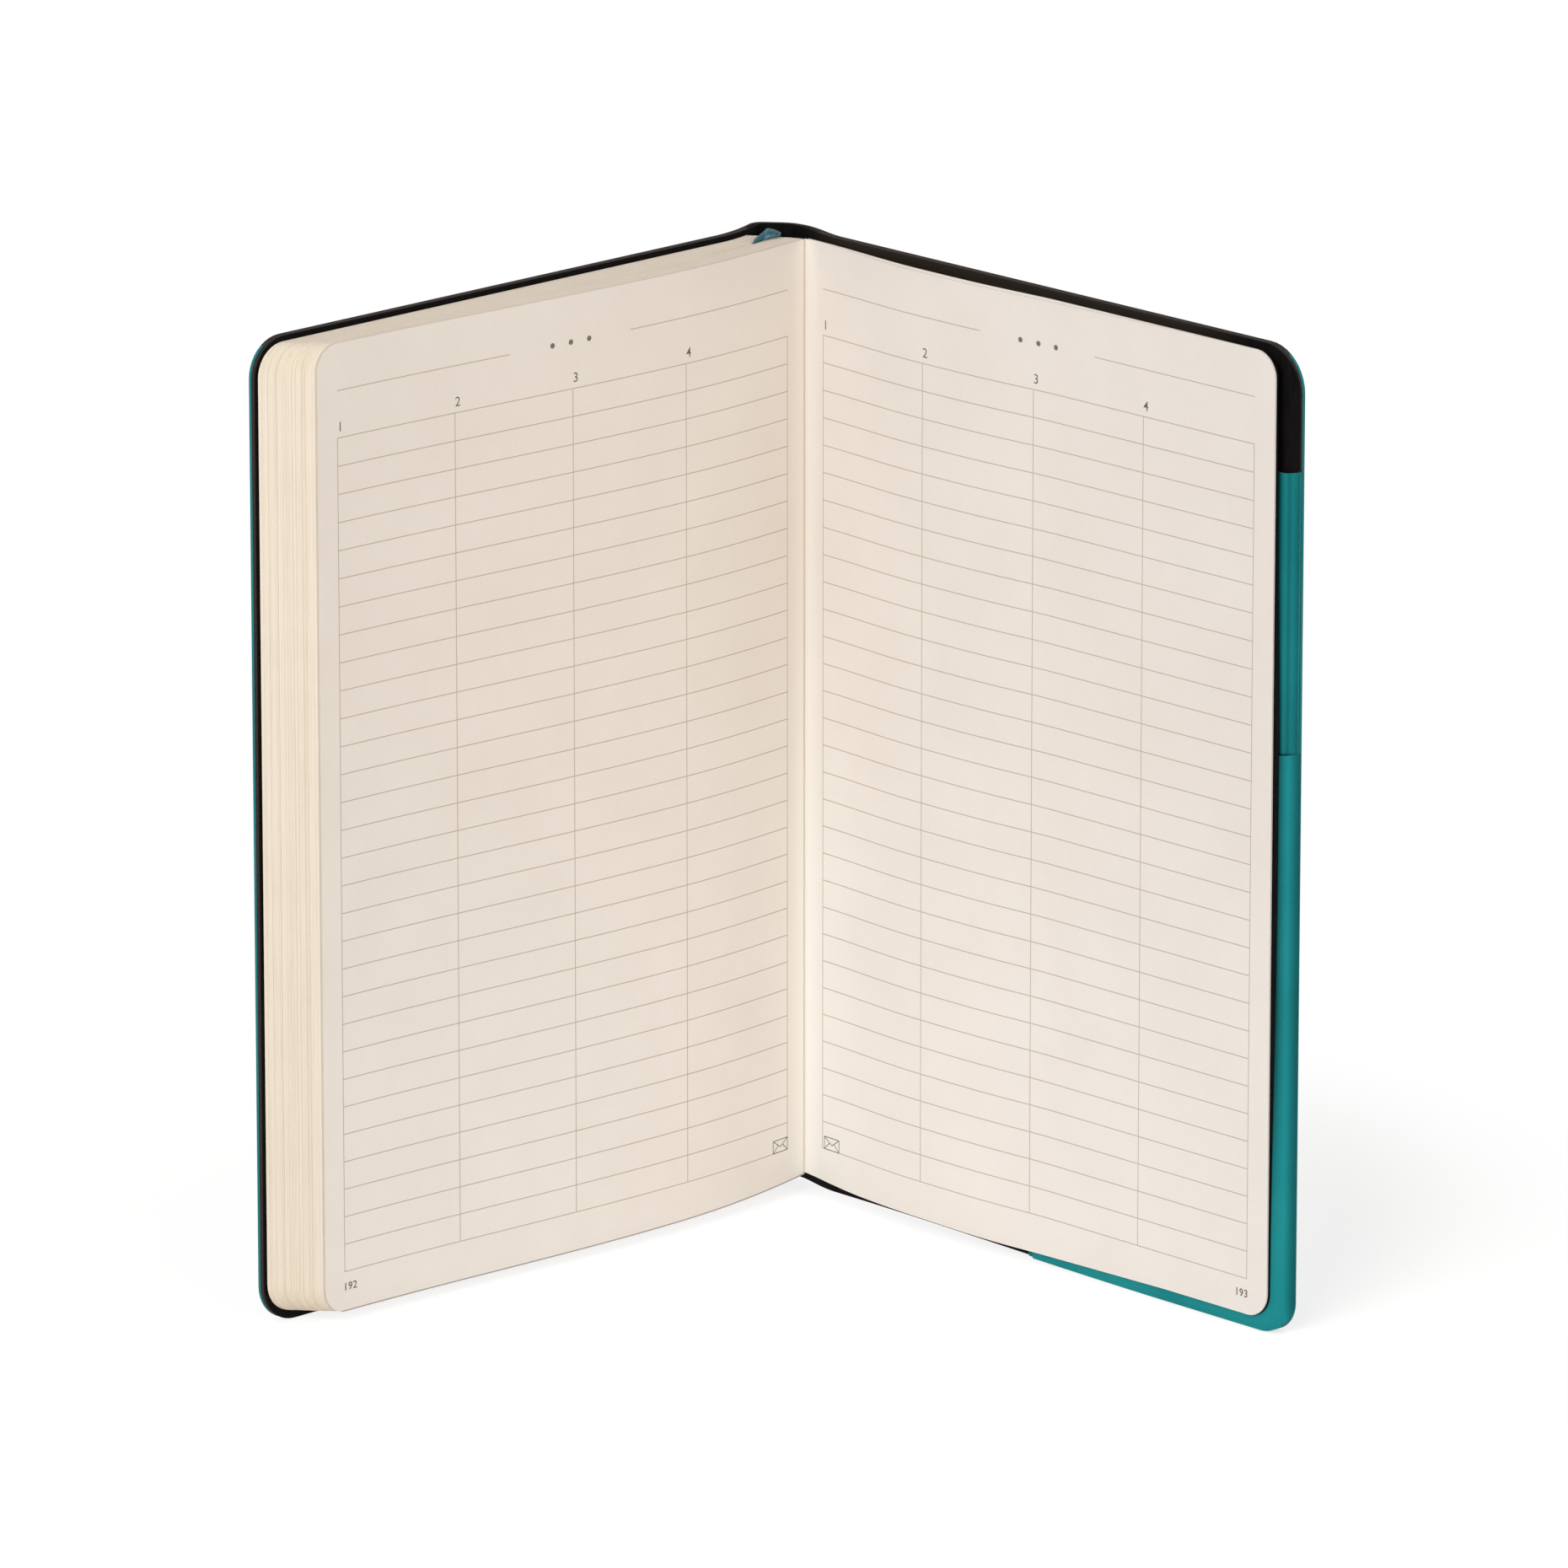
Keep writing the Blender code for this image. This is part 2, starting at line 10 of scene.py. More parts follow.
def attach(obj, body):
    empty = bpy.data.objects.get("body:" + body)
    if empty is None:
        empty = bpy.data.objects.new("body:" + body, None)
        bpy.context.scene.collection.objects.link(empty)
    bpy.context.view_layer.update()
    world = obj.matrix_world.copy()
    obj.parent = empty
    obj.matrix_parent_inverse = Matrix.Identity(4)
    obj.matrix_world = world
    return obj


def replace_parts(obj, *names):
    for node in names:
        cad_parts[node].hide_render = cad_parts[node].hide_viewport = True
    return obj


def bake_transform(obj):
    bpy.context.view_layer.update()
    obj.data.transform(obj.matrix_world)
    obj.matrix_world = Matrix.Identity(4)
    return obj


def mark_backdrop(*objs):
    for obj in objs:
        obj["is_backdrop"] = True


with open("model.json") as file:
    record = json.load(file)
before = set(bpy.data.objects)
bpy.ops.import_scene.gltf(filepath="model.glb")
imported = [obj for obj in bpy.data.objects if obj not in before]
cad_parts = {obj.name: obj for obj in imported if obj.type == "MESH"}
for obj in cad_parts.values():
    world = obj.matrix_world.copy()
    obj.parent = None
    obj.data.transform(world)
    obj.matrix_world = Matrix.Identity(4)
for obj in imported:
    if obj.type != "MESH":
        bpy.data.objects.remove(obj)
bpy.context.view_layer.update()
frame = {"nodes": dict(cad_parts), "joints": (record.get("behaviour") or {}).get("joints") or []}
mm = 0.001
dice = random.Random(11)

# The opening: both halves are drawn in their own plan, s from the spine to the fore edge and n inwards
opening = {
    "frontAngle": 43.0,  # degrees to the line across the view
    "backAngle": 46.0,
    "spineAngle": 29.7,
    "spineWidth": 10.7 * mm,
    "bendLength": 13.0 * mm,
    "bendDrop": 3.3 * mm,
}
cover = {
    "width": 124.0 * mm,
    "height": 180.0 * mm,
    "corner": 7.0 * mm,
    "backCorners": (5.8 * mm, 8.2 * mm),  # tail, head
    "backRim": (0.42, 3.5 * mm),  # how much thinner the back cover's fore edge is, and over what width
    "rimKeep": 0.663 * mm,  # the depth that isn't thinned there
    "skin": 0.65 * mm,
    "board": (0.68 * mm, 1.45 * mm),
    "lining": (1.5 * mm, 1.75 * mm),
    "spineLining": (0.95 * mm, 1.2 * mm),
    "liningSlope": 4.0 * mm,  # on each side of the crease
    "softSkin": 0.08 * mm,
    "softLining": 0.06 * mm,
    "boardStart": 4.6 * mm,
    "crease": 2.6 * mm,
    "bulge": (2.2 * mm, 7.4 * mm, 13.0 * mm),  # the round spine: how far, where, and fading over what
}
paper = {
    "leaf": 0.1 * mm,
    "gap": 0.08 * mm,
    "press": 0.004 * mm,  # what stays free between the leaves of a section
    "width": 116.8 * mm,
    "tail": 1.9 * mm,
    "head": 179.1 * mm,
    "corners": (5.8 * mm, 4.7 * mm),  # first leaf, last leaf
    "flyleaf": 0.16 * mm,
    "flyleafInset": 1.7 * mm,
}
block = {
    "sections": 12,
    "leaves": 8,
    "base": 2.07 * mm,
    "firstRoot": 5.9 * mm,
    "skew": 5.5 * mm,
    "foreEdge": 7.0 * mm,
    "swell": 10.3 * mm,
    "gutter": 7.7 * mm,
    "swellAt": 33.0 * mm,
    "ribbonAfter": 6,
    "ribbonRoom": 0.245 * mm,
    "ribbonEnd": (11.0 * mm, 25.0 * mm),
}
rightPage = {
    "root": 3.6 * mm,
    "swell": 2.1 * mm,
    "swellLength": 64.0 * mm,
    "lift": 0.6 * mm,
    "section": 0.2 * mm,
    "reach": 0.28 * mm,
    "headDrop": 0.5 * mm,
    "tail": 2.7 * mm,
    "lip": (3.16 * mm, 0.28 * mm, 3.0 * mm),  # the open page's start, its root's lift, and over what length
}
pocket = {
    "start": 60.0 * mm,
    "top": 158.0 * mm,
    "slotTop": 107.0 * mm,
    "slotInset": 1.5 * mm,
    "panelFace": 2.57 * mm,
    "slotFace": 3.15 * mm,
    "rise": 26.0 * mm,
    "binding": 0.55 * mm,
    "step": 1.2 * mm,
    "gap": 0.3 * mm,
    "lead": 1.0 * mm,  # straight tail before the board's step
}
# The tail bows up towards the spine, by how much and fading where
bow = {
    "cover": (0.95 * mm, 20 * mm, 100 * mm),
    "left": (1.4 * mm, 19 * mm),
    "right": (1.0 * mm, 5 * mm),
    "dips": ((0.26 * mm, 6 * mm, 18 * mm), (0.34 * mm, 27 * mm, 57 * mm)),  # the right leaves hang down again
    "dipEnd": (60 * mm, 100 * mm),
    "heights": (3.2 * mm, 11.2 * mm),  # from all of it to none
}


def joint(name):
    return next(item for item in frame["joints"] if item["name"] == name)


def turned(angle):
    return Vector((math.cos(math.radians(angle)), math.sin(math.radians(angle))))


frontAlong = turned(180 + opening["frontAngle"])
frontIn = turned(opening["frontAngle"] - 90)
backAlong = turned(-opening["backAngle"])
backIn = turned(-opening["backAngle"] - 90)
spineAlong = turned(-opening["spineAngle"])
spineIn = turned(-opening["spineAngle"] - 90)
halfSpine = 0.5 * opening["spineWidth"]
frontCrease = Vector(joint("front_cover_hinge")["pos_m"][:2])
backCrease = frontCrease + opening["spineWidth"] * spineAlong
spineMiddle = frontCrease + halfSpine * spineAlong
frontStart = frontCrease + opening["bendDrop"] * frontIn
gutter = Vector(joint("back_cover_hinge")["pos_m"][:2])


def onFront(s, n, z=0.0):
    point = frontStart + s * frontAlong + n * frontIn
    return Vector((point.x, point.y, z))


def onBack(s, n, z=0.0):
    point = backCrease + s * backAlong + n * backIn
    return Vector((point.x, point.y, z))


def halfWayUp(point):
    return (*point, 0.5 * cover["height"])


def smooth(share):
    share = min(max(share, 0.0), 1.0)
    return share * share * (3.0 - 2.0 * share)


def between(value, start, end):
    return smooth((value - start) / (end - start))


def steps(start, end, count):
    return [start + (end - start) * k / count for k in range(count + 1)]


def frontFace(s):
    return -opening["bendDrop"] * (max(opening["bendLength"] - s, 0.0) / opening["bendLength"]) ** 2


def blockTop(s):
    root = block["firstRoot"] - block["skew"]
    if s < block["swellAt"]:
        rise = math.sin(0.5 * math.pi * (s - root) / (block["swellAt"] - root))
        return block["base"] + block["gutter"] + (block["swell"] - block["gutter"]) * rise
    fall = min((s - block["swellAt"]) / (root + paper["width"] - block["swellAt"]), 1.0)
    wave = 0.5 + 0.5 * math.cos(math.pi * fall)
    return block["base"] + block["foreEdge"] + (block["swell"] - block["foreEdge"]) * wave


def blockLevel(s, share):
    low = frontFace(s) + block["base"]
    return low + share * (blockTop(s) - low)


def backRise(s):
    share = between(s, pocket["start"] - pocket["rise"], pocket["start"])
    return cover["lining"][1] + (pocket["slotFace"] - cover["lining"][1]) * share


def pageRise(s):
    share = min(max((s - rightPage["root"]) / rightPage["swellLength"], 0.0), 1.0)
    swell = rightPage["swell"] * math.sin(math.pi * share) ** 2 + rightPage["lift"] * (1 - smooth(share))
    return backRise(s) + paper["flyleaf"] + 2 * paper["gap"] + swell


def coverBow(a):
    rise, start, end = bow["cover"]
    return rise * (1 - between(a, start, end))


def leftBow(s):
    rise, length = bow["left"]
    return rise * math.exp(-max(s, 0.0) / length)


def rightBow(s):
    rise, length = bow["right"]
    dip = sum(depth * between(s, start, end) for depth, start, end in bow["dips"])
    away = max(s - rightPage["root"], 0.0)
    return rise * math.exp(-away / length) - dip * (1 - between(s, *bow["dipEnd"]))


# Shaping: a flat outline in (s, z) is cut into strips, given its thickness and bent on to its place


def newPiece(name, bm, material):
    mesh = bpy.data.meshes.new(name)
    bm.to_mesh(mesh)
    bm.free()
    mesh.materials.append(material)
    piece = bpy.data.objects.new(name, mesh)
    bpy.context.scene.collection.objects.link(piece)
    return piece


def outlineFace(bm, points, corners):
    verts = [bm.verts.new((s, 0, z)) for s, z in points]
    bm.faces.new(verts)
    for index, radius in corners.items():
        bmesh.ops.bevel(bm, geom=[verts[index]], offset=radius, segments=10, profile=0.5,
                        affect="VERTICES", material=-1)


def panelPoints(start, end, low, high):
    return [(start, low), (end, low), (end, high), (start, high)]


def cutStrips(bm, cuts, normal=(1, 0, 0)):
    for cut in cuts:
        whole = bm.verts[:] + bm.edges[:] + bm.faces[:]
        bmesh.ops.bisect_plane(bm, geom=whole, dist=1e-7, plane_co=Vector(normal) * cut, plane_no=normal)


def bentSheet(points, corners, cuts, place, rows=(), soften=0.0, target=None, tail=None):
    bm = bmesh.new()
    outlineFace(bm, points, corners)
    cutStrips(bm, cuts)
    cutStrips(bm, rows, (0, 0, 1))
    for vert in bm.verts if tail else ():
        vert.co.z += tail(vert.co.x) * (1 - between(vert.co.z, *bow["heights"]))
    thicken(bm, place)
    if soften:
        rims = [edge for edge in bm.edges if edge.is_manifold and edge.calc_face_angle() > 1.2]
        bmesh.ops.bevel(bm, geom=rims, offset=soften, segments=2, profile=0.5, affect="EDGES", material=-1)
    return gather(bm, target)


def thicken(bm, place):
    low = set(bm.verts)
    bmesh.ops.extrude_face_region(bm, geom=bm.faces[:])
    uv = bm.loops.layers.uv.new("flat")
    for face in bm.faces:
        for loop in face.loops:
            loop[uv].uv = (loop.vert.co.x, loop.vert.co.z)
    sides = [vert not in low for vert in bm.verts]
    for vert, upper in zip(bm.verts[:], sides):
        vert.co = place(vert.co.x, upper, vert.co.z)
    bmesh.ops.recalc_face_normals(bm, faces=bm.faces[:])


def gather(bm, target):
    if target is None:
        return bm
    part = bpy.data.meshes.new("part")
    bm.to_mesh(part)
    bm.free()
    target.from_mesh(part)
    bpy.data.meshes.remove(part)
    return target


def smoothFaces(piece, angle=40):
    for face in piece.data.polygons:
        face.use_smooth = True
    piece.data.set_sharp_from_angle(angle=math.radians(angle))
    return piece


def secondFinish(piece, material, test):
    # the faces that pass the test get another material
    piece.data.materials.append(material)
    for face in piece.data.polygons:
        face.material_index = 1 if test(face.normal) else 0


# Cover paths run along the outside of the cover, from the middle of the spine to the fore edge


def turnPath(first, corner, last, count=8):
    return [first.lerp(corner, t).lerp(corner.lerp(last, t), t) for t in steps(0.0, 1.0, count)]


def frontPath():
    bend = [onFront(s, frontFace(s)).xy for s in steps(cover["crease"], opening["bendLength"], 10)]
    turn = turnPath(frontCrease + cover["crease"] * spineAlong, frontCrease, bend[0])
    return [spineMiddle] + turn + bend[1:] + [onFront(cover["width"], 0).xy]


def backPath():
    first = backCrease - cover["crease"] * spineAlong
    turn = turnPath(first, backCrease, backCrease + 1.5 * cover["crease"] * backAlong)
    return [spineMiddle] + turn + [onBack(cover["width"], 0).xy]


class CoverPath:
    def __init__(self, points, inwards, before=None):
        self.points = points
        self.inwards = inwards
        self.at = [0.0]
        for a, b in zip(points, points[1:]):
            self.at.append(self.at[-1] + (b - a).length)
        self.normals = []
        for k in range(len(points)):
            last = points[k - 1] if k else before or points[0]
            along = (points[min(k + 1, len(points) - 1)] - last).normalized()
            normal = Vector((-along.y, along.x))
            self.normals.append(normal if normal.dot(inwards) > 0 else -normal)
        self.length = self.at[-1]

    def place(self, a, depth, z):
        k = 0
        while k < len(self.at) - 2 and a > self.at[k + 1]:
            k += 1
        share = (a - self.at[k]) / (self.at[k + 1] - self.at[k])
        point = self.points[k].lerp(self.points[k + 1], share)
        normal = self.normals[k].lerp(self.normals[k + 1], share)
        point = point + depth * normal
        return Vector((point.x, point.y, z))


def spineBulge(u):
    # u runs from the front crease across the spine and on to the back cover
    far, top, fade = cover["bulge"]
    return far * (smooth(u / top) if u < top else 1 - smooth((u - top) / fade))


def bulged(points, inwards, direction, count=44):
    straight = CoverPath(points, inwards)
    reach = steps(0.0, halfSpine + cover["bulge"][2], count)

    def shifted(a):
        return straight.place(a, -spineBulge(halfSpine + direction * a), 0).xy

    stops = reach + [a for a in straight.at if a > reach[-1]]
    return CoverPath([shifted(a) for a in stops], inwards, shifted(-reach[1]))


frontOutside = bulged(frontPath(), frontIn, -1)
backOutside = bulged(backPath(), backIn, 1)

# Materials


def solid(colour):
    return (*colour, 1)


class Finish:
    def __init__(self, name):
        self.material = bpy.data.materials.new(name)
        self.material.use_nodes = True
        self.tree = self.material.node_tree
        self.shader = self.tree.nodes["Principled BSDF"]

    def node(self, kind, settings=None, **inputs):
        made = self.tree.nodes.new("ShaderNode" + kind)
        for key, value in (settings or {}).items():
            setattr(made, key, value)
        for key, value in inputs.items():
            self.feed(made.inputs[key.replace("_", " ")], value)
        return made

    def feed(self, socket, value):
        if isinstance(value, bpy.types.NodeSocket):
            self.tree.links.new(value, socket)
        else:
            socket.default_value = value

    def set(self, **inputs):
        for key, value in inputs.items():
            self.feed(self.shader.inputs[key.replace("_", " ")], value)

    def math(self, operation, *values):
        made = self.node("Math", {"operation": operation})
        for socket, value in zip(made.inputs, values):
            self.feed(socket, value)
        return made.outputs[0]

    def times(self, first, *others):
        for other in others:
            first = self.math("MULTIPLY", first, other)
        return first

    def minus(self, first, second):
        return self.math("SUBTRACT", first, second)

    def weigh(self, first, share, second):
        return self.math("ADD", self.times(first, share), self.times(second, 1 - share))

    def within(self, value, low, high):
        return self.times(self.math("GREATER_THAN", value, low), self.math("LESS_THAN", value, high))

    def span(self, value, first, last, start=0.0, end=1.0, kind="LINEAR"):
        return self.node("MapRange", {"interpolation_type": kind}, Value=value, From_Min=start, From_Max=end,
                         To_Min=first, To_Max=last).outputs["Result"]

    def fall(self, value, start, end, first=1.0, last=0.0):
        return self.span(value, first, last, start, end, "SMOOTHSTEP")

    def place(self):
        return self.node("TexCoord").outputs["Object"]

    def flat(self):
        return self.node("UVMap", {"uv_map": "flat"}).outputs["UV"]

    def axes(self, vector):
        return [self.node("SeparateXYZ", None, Vector=vector).outputs[axis] for axis in "XYZ"]

    def stretch(self, vector, scale):
        return self.node("Mapping", None, Vector=vector, Scale=scale).outputs["Vector"]

    def noise(self, vector, scale, detail=4.0, roughness=0.55):
        return self.node("TexNoise", None, Vector=vector, Scale=scale, Detail=detail,
                         Roughness=roughness).outputs["Fac"]

    def ramp(self, factor, low, high, start=0.0, end=1.0):
        made = self.node("ValToRGB", None, Fac=factor)
        for stop, at, colour in zip(made.color_ramp.elements, (start, end), (low, high)):
            stop.position = at
            stop.color = solid(colour)
        return made.outputs["Color"]

    def mix(self, factor, first, second, kind="MIX"):
        made = self.node("Mix", {"data_type": "RGBA", "blend_type": kind})
        for index, value in ((0, factor), (6, first), (7, second)):
            self.feed(made.inputs[index], value)
        return made.outputs[2]

    def bump(self, height, distance, strength):
        return self.node("Bump", None, Height=height, Distance=distance, Strength=strength).outputs["Normal"]


skinLook = {"dark": (0.006, 0.165, 0.176), "light": (0.012, 0.225, 0.238), "paintedShade": (0.0, 0.012, 0.014),
            "grain": 2600.0, "pores": 1500.0, "poreDepth": 0.9, "cloud": 45.0, "rough": (0.5, 0.66),
            "bump": (0.03 * mm, 0.5), "lit": 1.0, "gloss": 0.16}
# On the pocket the stops give, along s in mm, the level of painted shade on the cloth, 1 being unshaded: painted
# shadow under the leaves' edge and painted shade in its fold
# the lit levels paint the pocket panel and the card slot as brighter copies of the skin, for how the light falls
# on them
panelLook = {"lit": 1.1, "gloss": 0.06, "line": (106.3 * mm, 106.98 * mm),
             "stops": ((117.4, 0.95), (119.2, 0.5), (120.3, 0.3), (120.85, 0.5), (121.4, 0.84), (121.95, 0.9),
                       (122.45, 0.58), (122.9, 0.84), (123.6, 0.95), (124.0, 0.95))}
slotLook = {"lit": 1.36, "gloss": 0.08,
            "stops": ((117.4, 0.8), (119.2, 0.4), (120.6, 0.1), (121.6, 0.3), (122.35, 0.64), (122.95, 0.94),
                      (123.4, 1.0), (123.8, 1.0), (124.06, 1.0))}
# Towards the tail the painted shade fades out again, and the rim and the line over the card slot get darker
# painted shade
clothShadeLook = {"tail": (8 * mm, 60 * mm), "rim": (122.9 * mm, 124.1 * mm), "rimShadeLevel": 0.4, "lineShare": 0.65}


def tealSkin(name, look):
    finish = Finish(name)
    place = finish.place()
    cells = finish.node("TexVoronoi", {"feature": "DISTANCE_TO_EDGE"}, Vector=place, Scale=skinLook["pores"])
    grain = finish.noise(place, skinLook["grain"], 3.0)
    cloud = finish.noise(place, skinLook["cloud"], 5.0)
    height = finish.math("MULTIPLY_ADD", cells.outputs["Distance"], skinLook["poreDepth"], grain)
    dark, light = [[look["lit"] * part for part in skinLook[tone]] for tone in ("dark", "light")]
    colour = finish.ramp(finish.weigh(cloud, 0.7, grain), dark, light, 0.3, 0.7)
    # painted shade on the pocket's cloth
    if "stops" in look:
        colour = finish.mix(paintedClothShade(finish, look), solid(skinLook["paintedShade"]), colour)
    finish.set(Base_Color=colour, Roughness=finish.span(grain, *skinLook["rough"]),
               Specular_IOR_Level=look["gloss"], Normal=finish.bump(height, *skinLook["bump"]))
    return finish.material


def paintedClothShade(finish, look):
    # painted shade: the cloth is darkened where it turns under the leaves, in its fold and along its rim, where
    # shade falls on it
    s, z, _ = finish.axes(finish.flat())
    first, last = look["stops"][0][0], look["stops"][-1][0]
    ramp = finish.node("ValToRGB", None, Fac=finish.span(s, 0.0, 1.0, first * mm, last * mm))
    stops = ramp.color_ramp.elements
    for at, level in look["stops"][1:-1]:
        stops.new((at - first) / (last - first))
    for stop, (at, level) in zip(stops, look["stops"]):
        stop.color = (level, level, level, 1)
    low = finish.fall(z, *clothShadeLook["tail"])
    unshaded = finish.math("MULTIPLY_ADD", finish.minus(1.0, low), ramp.outputs["Color"], low)
    unshaded = finish.times(unshaded, finish.fall(s, *clothShadeLook["rim"], last=clothShadeLook["rimShadeLevel"]))
    if "line" in look:
        inSlotShadow = finish.times(finish.within(z, *look["line"]), clothShadeLook["lineShare"])
        unshaded = finish.times(unshaded, finish.minus(1.0, inSlotShadow))
    return unshaded


liningLook = {"dark": (0.002, 0.0017, 0.0017), "light": (0.0068, 0.0057, 0.0053), "fibre": 900.0,
              "stretch": (1.0, 1.0, 0.25), "rough": (0.62, 0.8), "bump": (0.03 * mm, 0.5),
              "paintedHeadLight": (0.0225, 0.0168, 0.0128), "head": (176.5 * mm, 177.8 * mm),
              "headLightFrom": (4 * mm, 14 * mm), "headLightTo": (70 * mm, 84 * mm)}


def blackLining():
    finish = Finish("blackLining")
    place = finish.place()
    fibre = finish.noise(finish.stretch(place, liningLook["stretch"]), liningLook["fibre"], 5.0, 0.65)
    colour = finish.ramp(fibre, liningLook["dark"], liningLook["light"], 0.35, 0.7)
    # painted light: paler along the head of the back cover, where light falls on it
    x, _, z = finish.axes(place)
    onHead = finish.minus(1.0, finish.fall(z, *liningLook["head"]))
    onBackCover = finish.minus(finish.fall(x, *liningLook["headLightTo"]),
                               finish.fall(x, *liningLook["headLightFrom"]))
    colour = finish.mix(finish.times(onHead, onBackCover), colour, solid(liningLook["paintedHeadLight"]))
    finish.set(Base_Color=colour, Roughness=finish.span(fibre, *liningLook["rough"]), Specular_IOR_Level=0.06,
               Normal=finish.bump(fibre, *liningLook["bump"]))
    return finish.material


boardLook = {"dark": (0.021, 0.0145, 0.0123), "light": (0.054, 0.040, 0.033), "pulp": 1800.0,
             "rough": (0.75, 0.9), "bump": (0.05 * mm, 0.6)}


def blackBoard():
    finish = Finish("blackBoard")
    pulp = finish.noise(finish.place(), boardLook["pulp"], 5.0, 0.7)
    finish.set(Base_Color=finish.ramp(pulp, boardLook["dark"], boardLook["light"], 0.3, 0.75),
               Roughness=finish.span(pulp, *boardLook["rough"]), Specular_IOR_Level=0.15,
               Normal=finish.bump(pulp, *boardLook["bump"]))
    return finish.material


paperLook = {"shade": (0.822, 0.750, 0.664), "light": (0.870, 0.803, 0.718), "ink": (0.42, 0.33, 0.265),
             "fold": (0.932, 0.866, 0.765), "crease": (0.60, 0.49, 0.37), "creaseShadeShare": 0.6,
             "paintedLighting": (0.10, 0.075, 0.058), "cloud": 60.0, "fibre": 2200.0, "paler": (20 * mm, 130 * mm),
             "rough": (0.8, 0.95), "bump": (0.02 * mm, 0.4)}
# The ruling of a page, and where light and shade are painted on its paper: paler tones, a painted highlight at the
# fold, painted shade in the crease and a painted shadow along the tail
tablePrint = {"columns": 4, "bottom": 9.3 * mm, "top": 162.05 * mm, "rows": 30, "rule": 170.6 * mm,
              "line": 0.17 * mm, "strength": 0.8, "beside": (3 * mm, 17 * mm),
              "paintedLightTones": ((0.98, 0.972, 0.968), (1.01, 1.025, 1.05), (1.07, 1.1, 1.13))}  # head, tail, gutter
leftTable = dict(tablePrint, start=5.03 * mm, end=111.98 * mm, ruleGap=(45.1 * mm, 72.8 * mm),
                 fold=(0.6 * mm, 4.6 * mm), crease=(0.38 * mm, 0.6 * mm), paintedLighting=(0.4 * mm, 0.24 * mm, 0.62))
innerTable = dict(tablePrint, start=10.53 * mm, end=117.48 * mm, ruleGap=(50.6 * mm, 78.3 * mm),
                  fold=(0.0, 1.0 * mm))
rightTable = dict(tablePrint, start=7.75 * mm, end=115.5 * mm, ruleGap=(48.9 * mm, 76.6 * mm),
                  fold=(3.3 * mm, 7.4 * mm), beside=(6.5 * mm, 24 * mm),
                  paintedLightTones=((0.945, 0.955, 0.99), (1.0, 1.03, 1.085), (1.03, 1.08, 1.14)))


def creamPaper(name, table):
    finish = Finish(name)
    place = finish.place()
    cloud = finish.noise(place, paperLook["cloud"], 4.0, 0.6)
    fibre = finish.noise(place, paperLook["fibre"], 4.0, 0.6)
    colour = finish.ramp(finish.weigh(cloud, 0.6, fibre), paperLook["shade"], paperLook["light"], 0.25, 0.65)
    s, z, _ = finish.axes(finish.flat())
    # painted highlight along the gutter fold
    colour = finish.mix(finish.fall(s, *table["fold"]), colour, solid(paperLook["fold"]))
    # painted shade in the crease at the gutter
    if "crease" in table:
        inCreaseShade = finish.times(finish.fall(s, *table["crease"]), paperLook["creaseShadeShare"])
        colour = finish.mix(inCreaseShade, colour, solid(paperLook["crease"]))
    # painted light: a little paler and less yellow towards the tail, most of all beside the gutter
    head, tail, inGutter = [solid(tone) for tone in table["paintedLightTones"]]
    low = finish.fall(z, *paperLook["paler"])
    beside = finish.times(low, finish.fall(s, *table["beside"]))
    tone = finish.mix(beside, finish.mix(low, head, tail), inGutter)
    colour = finish.mix(1.0, colour, tone, "MULTIPLY")
    colour = finish.mix(ruledTable(finish, table, s, z), colour, solid(paperLook["ink"]))
    if "paintedLighting" in table:
        # painted shadow: a dark line along the tail, which bows up towards the root, stands for the contact shadow
        # under the page's edge
        root, width, share = table["paintedLighting"]
        rise, length = bow["left"]
        along = finish.math("EXPONENT", finish.math("DIVIDE", finish.minus(root, s), length))
        over = finish.minus(z, finish.math("MULTIPLY_ADD", along, rise, paper["tail"]))
        onTail = finish.times(finish.math("LESS_THAN", over, width), share)
        colour = finish.mix(onTail, colour, solid(paperLook["paintedLighting"]))
    finish.set(Base_Color=colour, Roughness=finish.span(fibre, *paperLook["rough"]), Specular_IOR_Level=0.2,
               Normal=finish.bump(fibre, *paperLook["bump"]))
    return finish.material


def ruledTable(finish, table, s, z):
    half = 0.5 * table["line"]
    column = (table["end"] - table["start"]) / table["columns"]
    row = (table["top"] - table["bottom"]) / table["rows"]

    def lines(value, start, pitch):
        away = finish.math("PINGPONG", finish.minus(value, start), 0.5 * pitch)
        return finish.math("LESS_THAN", away, half)

    inside = finish.times(finish.within(s, table["start"] - half, table["end"] + half),
                          finish.within(z, table["bottom"] - half, table["top"] + half))
    either = finish.math("MAXIMUM", lines(s, table["start"], column), lines(z, table["bottom"], row))
    onRule = finish.within(z, table["rule"] - half, table["rule"] + half)
    ruled = finish.minus(finish.within(s, table["start"], table["end"]), finish.within(s, *table["ruleGap"]))
    mask = finish.math("MAXIMUM", finish.times(inside, either), finish.times(onRule, ruled))
    return finish.times(mask, table["strength"])


# the corner and head tones are painted light, set by which way the edge faces
edgeLook = {"shade": (0.800, 0.700, 0.570), "light": (0.872, 0.780, 0.650), "corner": (0.800, 0.690, 0.480),
            "head": (1.065, 1.058, 1.10), "streak": 1400.0, "stretch": (1.0, 1.0, 0.02), "cloud": 120.0,
            "cornerLightShare": 1.6, "bump": (0.03 * mm, 0.4)}


